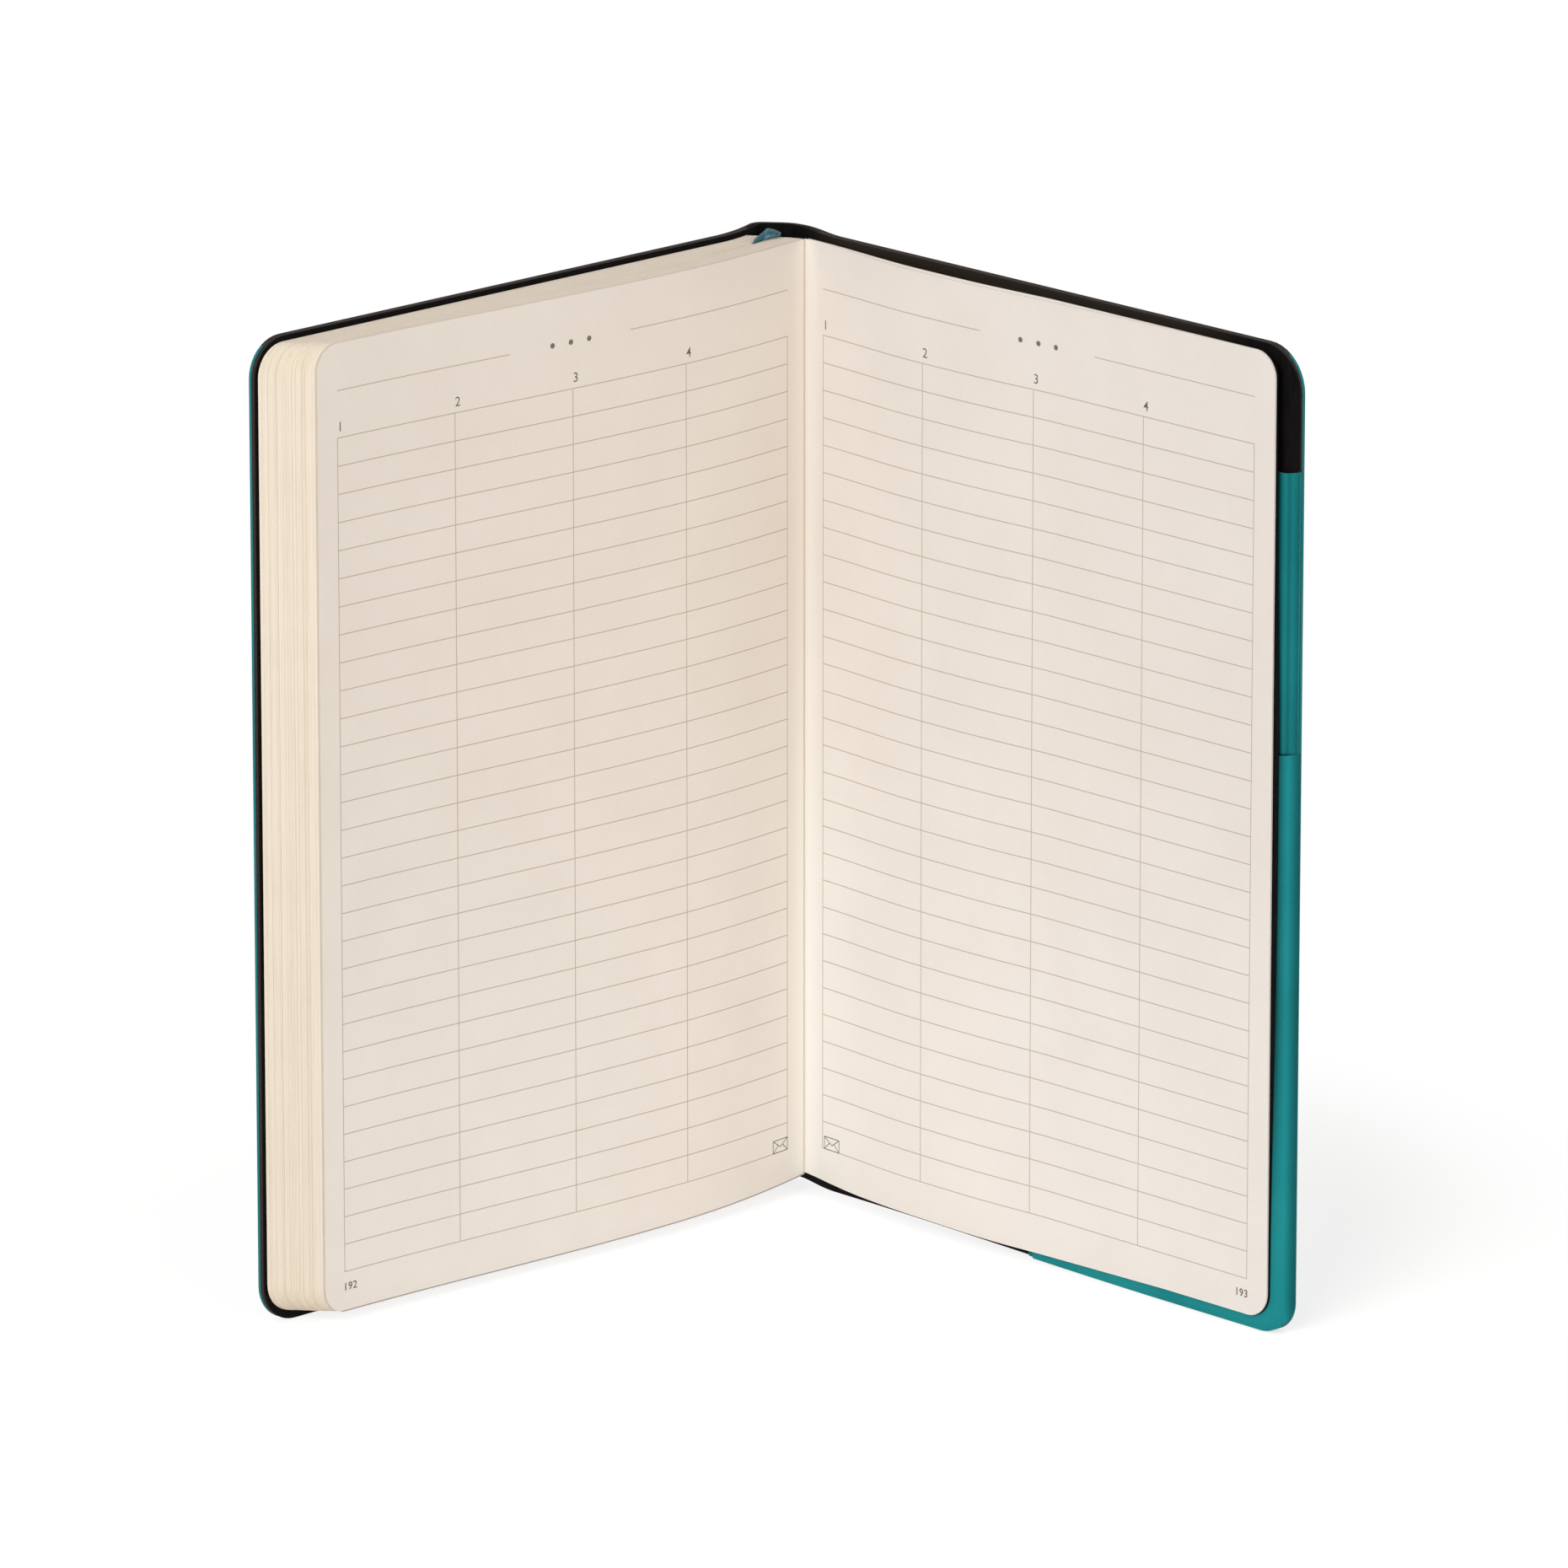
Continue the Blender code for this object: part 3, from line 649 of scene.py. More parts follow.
def leafEdges():
    finish = Finish("leafEdges")
    place = finish.place()
    streak = finish.noise(finish.stretch(place, edgeLook["stretch"]), edgeLook["streak"], 3.0, 0.7)
    cloud = finish.noise(place, edgeLook["cloud"], 3.0)
    colour = finish.ramp(finish.weigh(streak, 0.7, cloud), edgeLook["shade"], edgeLook["light"], 0.2, 0.55)
    # painted light: a yellower tone on the rounded corners, and the faces turned up to the head painted lighter
    slope = finish.math("ABSOLUTE", finish.axes(finish.node("NewGeometry").outputs["Normal"])[2])
    corner = finish.times(slope, finish.minus(1.0, slope), edgeLook["cornerLightShare"])
    colour = finish.mix(corner, colour, solid(edgeLook["corner"]))
    paintedTopLight = finish.mix(finish.math("POWER", slope, 3.0), (1, 1, 1, 1), solid(edgeLook["head"]))
    finish.set(Base_Color=finish.mix(1.0, colour, paintedTopLight, "MULTIPLY"), Roughness=0.9,
               Specular_IOR_Level=0.2, Normal=finish.bump(streak, *edgeLook["bump"]))
    return finish.material


ribbonLook = {"dark": (0.004, 0.048, 0.066), "light": (0.022, 0.135, 0.170), "yarn": 0.22 * mm,
              "fuzz": 2500.0, "paintedLighting": (0.16, 0.36, 0.44), "highlightShare": 0.9, "side": (2.2 * mm, 3.0 * mm),
              "strokes": 900.0, "stretch": (1.0, 0.22, 1.0), "rough": (0.4, 0.6), "bump": (0.04 * mm, 0.6)}


def ribbonWeave():
    finish = Finish("ribbonWeave")
    flat = finish.flat()
    across, along, _ = finish.axes(flat)
    turn = 2 * math.pi / ribbonLook["yarn"]
    warp, weft = [finish.math("SINE", finish.times(axis, turn)) for axis in (across, along)]
    weave = finish.math("MULTIPLY_ADD", finish.times(warp, weft), 0.5, 0.5)
    fuzz = finish.noise(finish.place(), ribbonLook["fuzz"], 3.0)
    colour = finish.ramp(finish.weigh(weave, 0.6, fuzz), ribbonLook["dark"], ribbonLook["light"], 0.2, 0.8)
    # painted highlight: paler strokes along one side of the ribbon
    drawn = finish.noise(finish.stretch(flat, ribbonLook["stretch"]), ribbonLook["strokes"], 2.0)
    onSide = finish.span(across, 0.0, 1.0, *ribbonLook["side"])
    paintedLighting = finish.times(finish.span(drawn, 0.0, 1.0, 0.47, 0.58), onSide, ribbonLook["highlightShare"])
    finish.set(Base_Color=finish.mix(paintedLighting, colour, solid(ribbonLook["paintedLighting"])), Specular_IOR_Level=0.3,
               Roughness=finish.span(weave, *ribbonLook["rough"]),
               Normal=finish.bump(weave, *ribbonLook["bump"]))
    return finish.material


gauzeLook = {"dark": (0.52, 0.48, 0.42), "light": (0.80, 0.77, 0.70), "mesh": 320.0, "wander": 0.6,
             "fuzz": 1800.0, "bump": (0.1 * mm, 0.8)}
threadLook = {"dark": (0.60, 0.56, 0.48), "light": (0.85, 0.82, 0.75), "twist": 500.0,
              "bump": (0.05 * mm, 0.8)}
inkLook = {"dark": (0.13, 0.107, 0.088), "light": (0.21, 0.175, 0.145), "spots": 3500.0}


def gauzeCloth():
    finish = Finish("gauzeCloth")
    place = finish.place()
    mesh = finish.node("TexWave", {"bands_direction": "Z"}, Vector=place, Scale=gauzeLook["mesh"],
                       Distortion=gauzeLook["wander"]).outputs["Fac"]
    tone = finish.weigh(mesh, 0.6, finish.noise(place, gauzeLook["fuzz"], 3.0))
    finish.set(Base_Color=finish.ramp(tone, gauzeLook["dark"], gauzeLook["light"], 0.2, 0.8), Roughness=0.95,
               Normal=finish.bump(tone, *gauzeLook["bump"]))
    return finish.material


def linenThread():
    finish = Finish("linenThread")
    twist = finish.node("TexWave", {"bands_direction": "DIAGONAL"}, Vector=finish.place(),
                        Scale=threadLook["twist"]).outputs["Fac"]
    finish.set(Base_Color=finish.ramp(twist, threadLook["dark"], threadLook["light"]), Roughness=0.8,
               Normal=finish.bump(twist, *threadLook["bump"]))
    return finish.material


def printInk():
    finish = Finish("printInk")
    spots = finish.noise(finish.place(), inkLook["spots"], 2.0)
    finish.set(Base_Color=finish.ramp(spots, inkLook["dark"], inkLook["light"]), Roughness=0.8)
    return finish.material


skin = tealSkin("tealSkin", skinLook)
panelCloth = tealSkin("panelCloth", panelLook)
slotCloth = tealSkin("slotCloth", slotLook)
lining = blackLining()
board = blackBoard()
leftPaper = creamPaper("leftPaper", leftTable)
rightPaper = creamPaper("rightPaper", rightTable)
innerPaper = creamPaper("innerPaper", innerTable)
edges = leafEdges()
ribbonCloth = ribbonWeave()
ink = printInk()
print("materials ready")

# Covers

coverCuts = {"flat": 24, "rim": 4 * mm, "rimSteps": 8}
hinge = {"front": 3.0 * mm, "backFrom": 2.2 * mm, "backTo": 4.8 * mm}  # the bend's reach beside the creases
cardShape = {"inset": 0.9 * mm, "ends": 0.6 * mm, "levels": (0.68 * mm, 0.92 * mm), "steps": 14}


def coverSheet(name, path, start, low, high, material, points, corners, soften=0.0):
    end = path.length
    points = points or panelPoints(start, end, 0, cover["height"])
    cuts = [a for a in path.at if start < a < end]
    cuts += steps(path.at[-2], end, coverCuts["flat"])[1:-1]
    cuts += steps(end - coverCuts["rim"], end, coverCuts["rimSteps"])[:-1]

    def place(a, upper, z):
        return path.place(a, (high if upper else low)(a), z)

    return newPiece(name, bentSheet(points, corners, cuts, place, soften=soften, tail=coverBow), material)


def fixed(depth, path):
    # the back cover thins out towards its fore edge
    share, width = cover["backRim"] if path is backOutside else (0.0, 1.0)
    thinner = share * max(depth - cover["rimKeep"], 0)
    return lambda a: depth - thinner * between(a, path.length - width, path.length)


def liningDepth(level, path):
    flat = fixed(cover["lining"][level], path)
    onSpine, slope = cover["spineLining"][level], cover["liningSlope"]
    return lambda a: onSpine + (flat(a) - onSpine) * between(a, halfSpine - slope, halfSpine + slope)


def buildCover(side, path):
    boardStart = halfSpine + cover["boardStart"]
    tail, head = cover["backCorners"] if side == "back" else (cover["corner"], cover["corner"])
    corners, boardPoints, liningPoints = {1: tail, 2: head}, None, None
    low, high = [fixed(depth, path) for depth in (0.0, cover["skin"])]
    skinPiece = coverSheet(side + "CoverSkin", path, 0.0, low, high, skin, None, corners, cover["softSkin"])
    if side == "back":
        boardPoints, liningPoints = [backBoardPoints(start, path.length) for start in (boardStart, 0.0)]
        corners = {4: tail - pocket["binding"], 7: head}
    low, high = [fixed(depth, path) for depth in cover["board"]]
    boardPiece = coverSheet(side + "CoverBoard", path, boardStart, low, high, board, boardPoints, corners)
    low, high = [liningDepth(level, path) for level in (0, 1)]
    liningPiece = coverSheet(side + "CoverLining", path, 0.0, low, high, lining, liningPoints, corners,
                             cover["softLining"])
    # the skin's back is dark, and its cut edge too at head and tail, turning to teal round the corners
    secondFinish(skinPiece, board, lambda normal: abs(normal.z) > 0.8 or normal.xy.dot(path.inwards) > 0.5)
    return [smoothFaces(piece) for piece in (skinPiece, boardPiece, liningPiece)]


def backBoardPoints(start, end):
    # the board steps in under the binding, along the tail and the lower fore edge
    left = end - cover["width"] + pocket["start"] - pocket["gap"]
    inner = end - pocket["step"]
    low, top = pocket["binding"], pocket["top"] + pocket["gap"]
    return [(start, 0), (left - pocket["lead"], 0), (left, 0), (left, low), (inner, low), (inner, top), (end, top),
            (end, cover["height"]), (start, cover["height"])]


frontSkin, frontBoard, frontLining = buildCover("front", frontOutside)
backSkin, backBoard, backLining = buildCover("back", backOutside)
frontTurn = [frontCrease + hinge["front"] * spineAlong, onFront(hinge["front"], frontFace(hinge["front"])).xy]
backTurn = [backCrease - hinge["backFrom"] * spineAlong, onBack(hinge["backTo"], 0).xy]
for piece, node in ((frontSkin, "front_cover_skin"), (frontLining, "front_cover_lining")):
    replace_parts(piece, node)
    halfWayUp(frontTurn[0])
    halfWayUp(frontTurn[1])
    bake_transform(piece)
for piece, nodes in ((backSkin, ("back_cover_skin", "spine_skin", "back_joint_skin")),
                     (backLining, ("back_cover_lining", "spine_lining", "back_joint_lining"))):
    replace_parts(piece, *nodes)
    halfWayUp(backTurn[0])
    halfWayUp(backTurn[1])
    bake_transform(piece)
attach(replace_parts(frontBoard, "front_cover_board"), "front_cover")
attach(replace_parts(backBoard, "back_cover_board"), "back_cover")


def buildSpineCard():
    stops = steps(cardShape["inset"], opening["spineWidth"] - cardShape["inset"], cardShape["steps"])
    path = CoverPath([frontCrease + u * spineAlong - spineBulge(u) * spineIn for u in stops], spineIn)
    outline = panelPoints(0, path.length, cardShape["ends"], cover["height"] - cardShape["ends"])
    low, high = cardShape["levels"]

    def place(a, upper, z):
        return path.place(a, high if upper else low, z)

    sheet = bentSheet(outline, {}, path.at[1:-1], place, tail=lambda a: coverBow(0.0))
    return smoothFaces(newPiece("spineCard", sheet, board))


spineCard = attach(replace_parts(buildSpineCard(), "spine_card"), "text_block")
print("covers ready")

# Paper

leafCuts = {"near": 14, "middle": 12, "far": 16, "flyleaf": 10}
pageBend = {"length": 26 * mm, "section": 12 * mm}
edgeWander = {"section": 0.16 * mm, "leaf": 0.05 * mm, "head": 0.04 * mm, "first": 0.95 * mm,
              "last": -0.7 * mm}


def frontCuts(root):
    near = steps(root, opening["bendLength"], leafCuts["near"])[1:]
    middle = steps(opening["bendLength"], block["swellAt"], leafCuts["middle"])[1:]
    return near + middle + steps(block["swellAt"], cover["width"], leafCuts["far"])[1:-1]


def leafCorners(share):
    first, last = paper["corners"]
    radius = first + (last - first) * share
    return {1: radius, 2: radius}


def ribbonRoom(s, share):
    if abs(share * block["sections"] - block["ribbonAfter"]) > 1e-6:
        return 0.0
    return block["ribbonRoom"] * (1 - between(s, *block["ribbonEnd"]))


def buildSection(number):
    bm = bmesh.new()
    root = block["firstRoot"]
    drift = dice.uniform(-1, 1) * edgeWander["section"]
    for leaf in range(block["leaves"]):
        shares = [(number - 1 + (leaf + k) / block["leaves"]) / block["sections"] for k in (0, 1)]
        shear = edgeWander["first"] + (edgeWander["last"] - edgeWander["first"]) * shares[0]
        extra = shear + drift + dice.uniform(-1, 1) * edgeWander["leaf"]
        lift = dice.uniform(-1, 1) * edgeWander["head"]

        def place(s, upper, z):
            share = shares[1] if upper else shares[0]
            s -= block["skew"] * share
            gap = (paper["press"] + ribbonRoom(s, share)) * (-1 if upper else 1)
            return onFront(s, blockLevel(s, share) + gap, z)

        points = panelPoints(root, root + paper["width"] + extra, paper["tail"] + lift, paper["head"] + lift)
        bentSheet(points, leafCorners(shares[0]), frontCuts(root), place, target=bm,
                  tail=lambda s: leftBow(s - root))
    section = newPiece(f"frontSection{number:02d}", bm, edges)
    # the first and last sections show a page
    side = {1: -1, block["sections"]: 1}.get(number, 0)
    secondFinish(section, innerPaper, lambda normal: normal.xy.dot(frontIn) * side > 0.85)
    return smoothFaces(section, 30)


for number in range(1, block["sections"] + 1):
    section = buildSection(number)
    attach(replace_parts(section, f"section_{number:02d}"), "text_block")
print("front sections ready")


def buildLeftLeaf(number):
    root = block["firstRoot"] - block["skew"]
    start = root - (rightPage["reach"] if number == 1 else 0.0)
    low = paper["gap"] + (3 - number) * (paper["leaf"] + paper["gap"])

    def place(s, upper, z):
        return onFront(s, blockTop(s) + low + (paper["leaf"] if upper else 0.0), z)

    points = panelPoints(start, root + paper["width"] + edgeWander["last"], paper["tail"], paper["head"])
    sheet = bentSheet(points, leafCorners(1), frontCuts(root), place, tail=lambda s: leftBow(s - root))
    piece = newPiece(f"leftLeaf{number}", sheet, leftPaper)
    secondFinish(piece, edges, lambda normal: normal.xy.dot(frontAlong) > 0.4 or normal.z > 0.6)
    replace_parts(piece, f"left_leaf_{number}")
    return smoothFaces(piece, 60)


gutterPoint = halfWayUp(gutter)
leftBendEnd = halfWayUp(gutter + pageBend["length"] * frontAlong)
for number in (1, 2, 3):
    leaf = buildLeftLeaf(number)
    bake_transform(leaf)

# Sheets on the back cover: their cuts, how the open page's head sinks, and the flyleaf's bellied fore edge, a real
# black endpaper widened into painted shade beside the open page
backShape = {
    "near": (12 * mm, 10),
    "middle": (68 * mm, 28),
    "far": [80 * mm, 95 * mm, 110 * mm],
    "headBand": (8 * mm, 4),
    "sink": (4 * mm, 29 * mm),
    "sinkEnd": (60 * mm, 110 * mm),
    "belly": (100 * mm, 118 * mm),
    "bellyFrom": (8 * mm, 88 * mm),
    "bellyTo": (105 * mm, 150 * mm),
    "bellyRows": (8 * mm, 150 * mm, 24),
    "flyleafExtra": 0.25 * mm,
    "flyleafShadeBelly": 0.85 * mm,
}


def backSheet(name, face, low, high, material, extra=0.0, bm=None, root=rightPage["root"], drop=0.0,
              belly=0.0):
    band, bandRows = backShape["headBand"]
    near, nearSteps = backShape["near"]
    middle, middleSteps = backShape["middle"]

    def place(s, upper, z):
        halfWay = between(z, *backShape["bellyFrom"]) * (1 - between(z, *backShape["bellyTo"]))
        s += belly * between(s, *backShape["belly"]) * halfWay
        sink = drop * between(s, *backShape["sink"]) * (1 - between(s, *backShape["sinkEnd"]))
        z -= sink * between(z, paper["head"] - band, paper["head"])
        return onBack(s, face(s) + (high if upper else low), z)

    cuts = steps(root, near, nearSteps)[1:-1] + steps(near, middle, middleSteps) + backShape["far"]
    rows = steps(paper["head"] - band, paper["head"], bandRows)[:-1]
    rows += steps(*backShape["bellyRows"]) if belly else []
    points = panelPoints(root, rightPage["root"] + paper["width"] + extra, rightPage["tail"], paper["head"])
    shape = bentSheet(points, leafCorners(1), cuts, place, rows, target=bm, tail=rightBow)
    return shape if bm else smoothFaces(newPiece(name, shape, material), 60)


def openPageRise(s):
    start, lift, length = rightPage["lip"]
    return pageRise(s) + lift * (1 - smooth((s - start) / length))


def buildLastSection():
    bm = bmesh.new()
    half = 0.5 * rightPage["section"]
    for k in range(2):
        backSheet("leaf", pageRise, k * half, (k + 1) * half - paper["press"], None,
                  dice.uniform(-1, 1) * edgeWander["leaf"], bm)
    return smoothFaces(newPiece("lastSection", bm, rightPaper), 60)


sectionBendEnd = halfWayUp(gutter + pageBend["section"] * backAlong)
rightBendEnd = halfWayUp(gutter + pageBend["length"] * backAlong)
# the black flyleaf is real, but its bellied fore edge is a dark sheet standing as painted shade beside the open
# page
backFlyleaf = backSheet("backFlyleaf", backRise, paper["gap"], paper["gap"] + paper["flyleaf"], lining,
                        backShape["flyleafExtra"], belly=backShape["flyleafShadeBelly"])
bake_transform(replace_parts(backFlyleaf, "back_flyleaf"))
lastSection = buildLastSection()
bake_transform(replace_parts(lastSection, "section_13"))
rightLow = rightPage["section"] + paper["gap"]
rightLeaf = backSheet("rightLeaf1", openPageRise, rightLow, rightLow + paper["leaf"], rightPaper,
                      root=rightPage["lip"][0], drop=rightPage["headDrop"])
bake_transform(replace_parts(rightLeaf, "right_leaf_1"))

printLook = {
    "offset": 0.004 * mm,
    "thick": 0.008 * mm,
    "stroke": 0.16 * mm,
    "head": (1.75 * mm, 0.004 * mm),  # a digit's height and added weight
    "number": (1.4 * mm, 0.03 * mm),
    "digitShare": 0.7,  # of the font's size
    "spacing": 1.1,
    "headLift": 1.15 * mm,
    "numberAt": (0.35 * mm, 5.8 * mm),
    "dot": 0.5 * mm,
    "dotPitch": 4.2 * mm,
    "envelope": (4.0 * mm, 2.35 * mm),
    "envelopeInset": 0.5 * mm,
}
envelopeStrokes = ((0, 0, 1, 0), (1, 0, 1, 1), (1, 1, 0, 1), (0, 1, 0, 0), (0, 1, 0.5, 0.4), (0.5, 0.4, 1, 1),
                   (0, 0, 0.34, 0.55), (1, 0, 0.66, 0.55))


def upright(x, z):
    return Matrix.Translation((x, 0, z)) @ Matrix.Rotation(0.5 * math.pi, 4, "X")


def addNumber(bm, body, look, x, z, fromRight=False):
    height, weight = look
    curve = bpy.data.curves.new("number", "FONT")
    curve.body = body
    curve.size = height / printLook["digitShare"]
    curve.space_character = printLook["spacing"]
    curve.offset = weight
    curve.resolution_u = 5
    curve.align_x = "RIGHT" if fromRight else "LEFT"
    carrier = bpy.data.objects.new("number", curve)
    mesh = bpy.data.meshes.new_from_object(carrier)
    mesh.transform(upright(x, z))
    bm.from_mesh(mesh)
    bpy.data.objects.remove(carrier)
    bpy.data.curves.remove(curve)
    bpy.data.meshes.remove(mesh)


def addStroke(bm, first, last):
    side = (last - first).orthogonal().normalized() * 0.5 * printLook["stroke"]
    ends = (first - side, last - side, last + side, first + side)
    bm.faces.new([bm.verts.new((point.x, 0, point.y)) for point in ends])


def addEnvelope(bm, x, z):
    wide, high = printLook["envelope"]
    for x1, z1, x2, z2 in envelopeStrokes:
        addStroke(bm, Vector((x + x1 * wide, z + z1 * high)), Vector((x + x2 * wide, z + z2 * high)))


def addDots(bm, x, z):
    for k in (-1, 0, 1):
        spot = upright(x + k * printLook["dotPitch"], z)
        bmesh.ops.create_circle(bm, cap_ends=True, segments=20, radius=printLook["dot"], matrix=spot)


def buildPrint(name, table, number, leftSide, surface):
    # drawn as read, x to the right from the table's left side
    bm = bmesh.new()
    width = table["end"] - table["start"]
    for column in range(table["columns"]):
        addNumber(bm, str(column + 1), printLook["head"], column * width / table["columns"],
                  table["top"] + printLook["headLift"])
    out, low = printLook["numberAt"]
    addNumber(bm, number, printLook["number"], -out if leftSide else width + out, low, not leftSide)
    envelopeAt = width - printLook["envelope"][0] if leftSide else printLook["envelopeInset"]
    addEnvelope(bm, envelopeAt, table["bottom"])
    middle = 0.5 * sum(table["ruleGap"])
    addDots(bm, table["end"] - middle if leftSide else middle - table["start"], table["rule"])
    bmesh.ops.remove_doubles(bm, verts=bm.verts[:], dist=1e-6)

    def place(x, upper, z):
        s = table["end"] - x if leftSide else table["start"] + x
        return surface(s, printLook["offset"] + (printLook["thick"] if upper else 0.0), z)

    thicken(bm, place)
    return newPiece(name, bm, ink)


def onLeftPage(s, lift, z):
    return onFront(s, blockTop(s) + 3 * (paper["leaf"] + paper["gap"]) + lift, z)


def onRightPage(s, lift, z):
    return onBack(s, openPageRise(s) + rightLow + paper["leaf"] + lift, z)


leftPrint = buildPrint("leftPrint", leftTable, "192", True, onLeftPage)
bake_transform(leftPrint)
rightPrint = buildPrint("rightPrint", rightTable, "193", False, onRightPage)
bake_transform(rightPrint)


def buildFrontFlyleaf():
    low = cover["lining"][1] + paper["gap"]
    root = block["firstRoot"]

    def place(s, upper, z):
        return onFront(s, frontFace(s) + low + (paper["flyleaf"] if upper else 0.0), z)

    points = panelPoints(root, cover["width"] - paper["flyleafInset"], paper["tail"], paper["head"])
    cuts = steps(root, opening["bendLength"], leafCuts["flyleaf"])[1:]
    sheet = bentSheet(points, leafCorners(0), cuts, place, tail=lambda s: leftBow(s - root))
    return smoothFaces(newPiece("frontFlyleaf", sheet, lining), 60)


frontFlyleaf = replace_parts(buildFrontFlyleaf(), "front_flyleaf")
flyleafAxis = Vector(joint("front_flyleaf_turn")["pos_m"])
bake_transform(frontFlyleaf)
print("leaves ready")

# Pocket in the back cover: both panels turn over the fore edge

pocketRim = {
    "panelEnd": 123.98 * mm,
    "panelLow": 0.45 * mm,
    "slotEnd": 124.06 * mm,
    "slotLow": 0.55 * mm,
    "width": 3.0 * mm,
    "tail": 0.1 * mm,
    "sink": (0.25 * mm, 1.2 * mm),  # the tail's: how far, and over what height
    "corner": 5.72 * mm,
    "thick": 0.22 * mm,
}
gusset = {
    "valley": (122.45 * mm, 0.45 * mm, 0.16 * mm),  # where, how wide, how deep
    "from": (8 * mm, 16 * mm),
    "sag": (118 * mm, 6 * mm, 0.3 * mm),
    "sagBand": 4 * mm,
}
pocketCuts = {"flat": (100 * mm, 10), "turn": (116 * mm, 120 * mm, 10), "rim": 36}
pocketRows = {"tail": (2.0 * mm, 6), "corner": (7.0 * mm, 14), "above": [11 * mm, 16 * mm], "top": 3}


def pocketBow(s):
    return coverBow(s + halfSpine)


def rimTurn(s, z, end):
    # 1 on the flat panel, 0 where it turns over the fore edge, fading out round the tail corner
    away, hold = end - s, 1.0
    spoke = Vector((s - end + pocketRim["corner"], z - pocketRim["tail"] - pocketRim["corner"]))
    if spoke.y < 0:
        away = pocketRim["corner"] - spoke.length
        hold = smooth(1 + 2 * math.atan2(spoke.y, spoke.x) / math.pi) if spoke.x > 0 else 0.0
    near = min(max(1 - away / pocketRim["width"], 0.0), 1.0)
    return 1 - hold * (1 - math.cos(0.5 * math.pi * near ** 1.5))


def pocketFace(s, z):
    at, width, depth = gusset["valley"]
    valley = math.exp(-((s - at) / width) ** 2) * between(z, *gusset["from"])
    low = pocketRim["panelLow"]
    return low + (pocket["panelFace"] - low) * rimTurn(s, z, pocketRim["panelEnd"]) - depth * valley


def slotFace(s, z):
    low = pocketRim["slotLow"]
    return low + (pocket["slotFace"] - low) * rimTurn(s, z, pocketRim["slotEnd"])


def buildPocketPanel(name, top, face, left, end, material):
    tail, band = pocketRim["tail"], gusset["sagBand"]
    sinkDepth, sinkHeight = pocketRim["sink"]
    sagFrom, sagLength, sagDepth = gusset["sag"]

    def place(s, upper, z):
        sink = sinkDepth * (1 - between(z, tail, tail + sinkHeight))
        span = min(max((s - sagFrom) / sagLength, 0.0), 1.0)
        height = z - sagDepth * math.sin(math.pi * span) * between(z, top - band, top)
        return onBack(s, face(s, z) - (0.0 if upper else pocketRim["thick"]) - sink, height)

    cuts = steps(left, *pocketCuts["flat"])[1:] + steps(*pocketCuts["turn"])
    cuts += steps(pocketCuts["turn"][1], end, pocketCuts["rim"])[1:-1]
    rows = steps(tail, *pocketRows["tail"])[1:] + steps(pocketRows["tail"][0], *pocketRows["corner"])[1:]
    rows += pocketRows["above"] + steps(top - band, top, pocketRows["top"])[:-1]
    points = panelPoints(left, end, tail, top)
    sheet = bentSheet(points, {1: pocketRim["corner"]}, cuts, place, rows, tail=pocketBow)
    piece = newPiece(name, sheet, material)
    secondFinish(piece, board, lambda normal: normal.z > 0.8)
    return smoothFaces(piece, 70)


pocketPanel = buildPocketPanel("pocketPanel", pocket["top"], pocketFace, pocket["start"],
                               pocketRim["panelEnd"], panelCloth)
cardSlot = buildPocketPanel("cardSlotPanel", pocket["slotTop"], slotFace,
                            pocket["start"] + pocket["slotInset"], pocketRim["slotEnd"], slotCloth)
bindingShape = {
    "strip": 0.45 * mm,
    "inset": 0.1 * mm,
    "levels": (0.66 * mm, 1.75 * mm),
    "thins": (0.9 * mm, 121.5 * mm, 123.7 * mm),  # by how much, and from where to where
    "soft": 0.05 * mm,
    "cuts": (100 * mm, 10),
    "lastCut": 110 * mm,
}


def buildBinding():
    strip, inset = bindingShape["strip"], bindingShape["inset"]
    start, end, top = pocket["start"], cover["width"] - inset, pocket["top"]
    points = [(start, 0), (end, 0), (end, top), (end - strip, top), (end - strip, strip), (start, strip)]
    corner = cover["backCorners"][0] - inset
    low, high = bindingShape["levels"]
    thinner, thinFrom, thinTo = bindingShape["thins"]

    def place(s, upper, z):
        return onBack(s, high - thinner * between(s, thinFrom, thinTo) if upper else low, z)

    cuts = steps(start, *bindingShape["cuts"])[1:] + [bindingShape["lastCut"]]
    shape = bentSheet(points, {1: corner, 4: corner - strip}, cuts, place, soften=bindingShape["soft"],
                      tail=pocketBow)
    return smoothFaces(newPiece("pocketBinding", shape, skin), 50)


binding = buildBinding()
for piece, node in ((pocketPanel, "pocket_panel"), (cardSlot, "card_slot_panel"),
                    (binding, "pocket_edge_binding")):
    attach(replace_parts(piece, node), "back_cover")
print("pocket ready")

# Ribbon: glued to the block's back, looped over its head and laid between two sections

ribbonShape = {
    "width": 5.0 * mm,
    "thick": 0.25 * mm,
    "at": 7.2 * mm,
    "tail": 62 * mm,
    "glued": 40 * mm,
    "backShare": 0.28,
    "backGap": 1.48 * mm,
    "lean": 1.7,
    "bulge": 2.2 * mm,
    "rise": (2.7 * mm, 1.1 * mm),
    "curl": (0.75, 0.5),
    "pinch": 0.3,
    "pinchFrom": 8 * mm,  # below the head
    "pinchTo": (0.3, 0.8),  # shares of the loop
    "steps": (12, 24, 20),  # glued, loop, between the sections
    "acrossSteps": 7,
}


def blockBack(share, offset):
    s = block["firstRoot"] - block["skew"] * share
    return Vector((s - offset, blockLevel(s, share), 0.0))


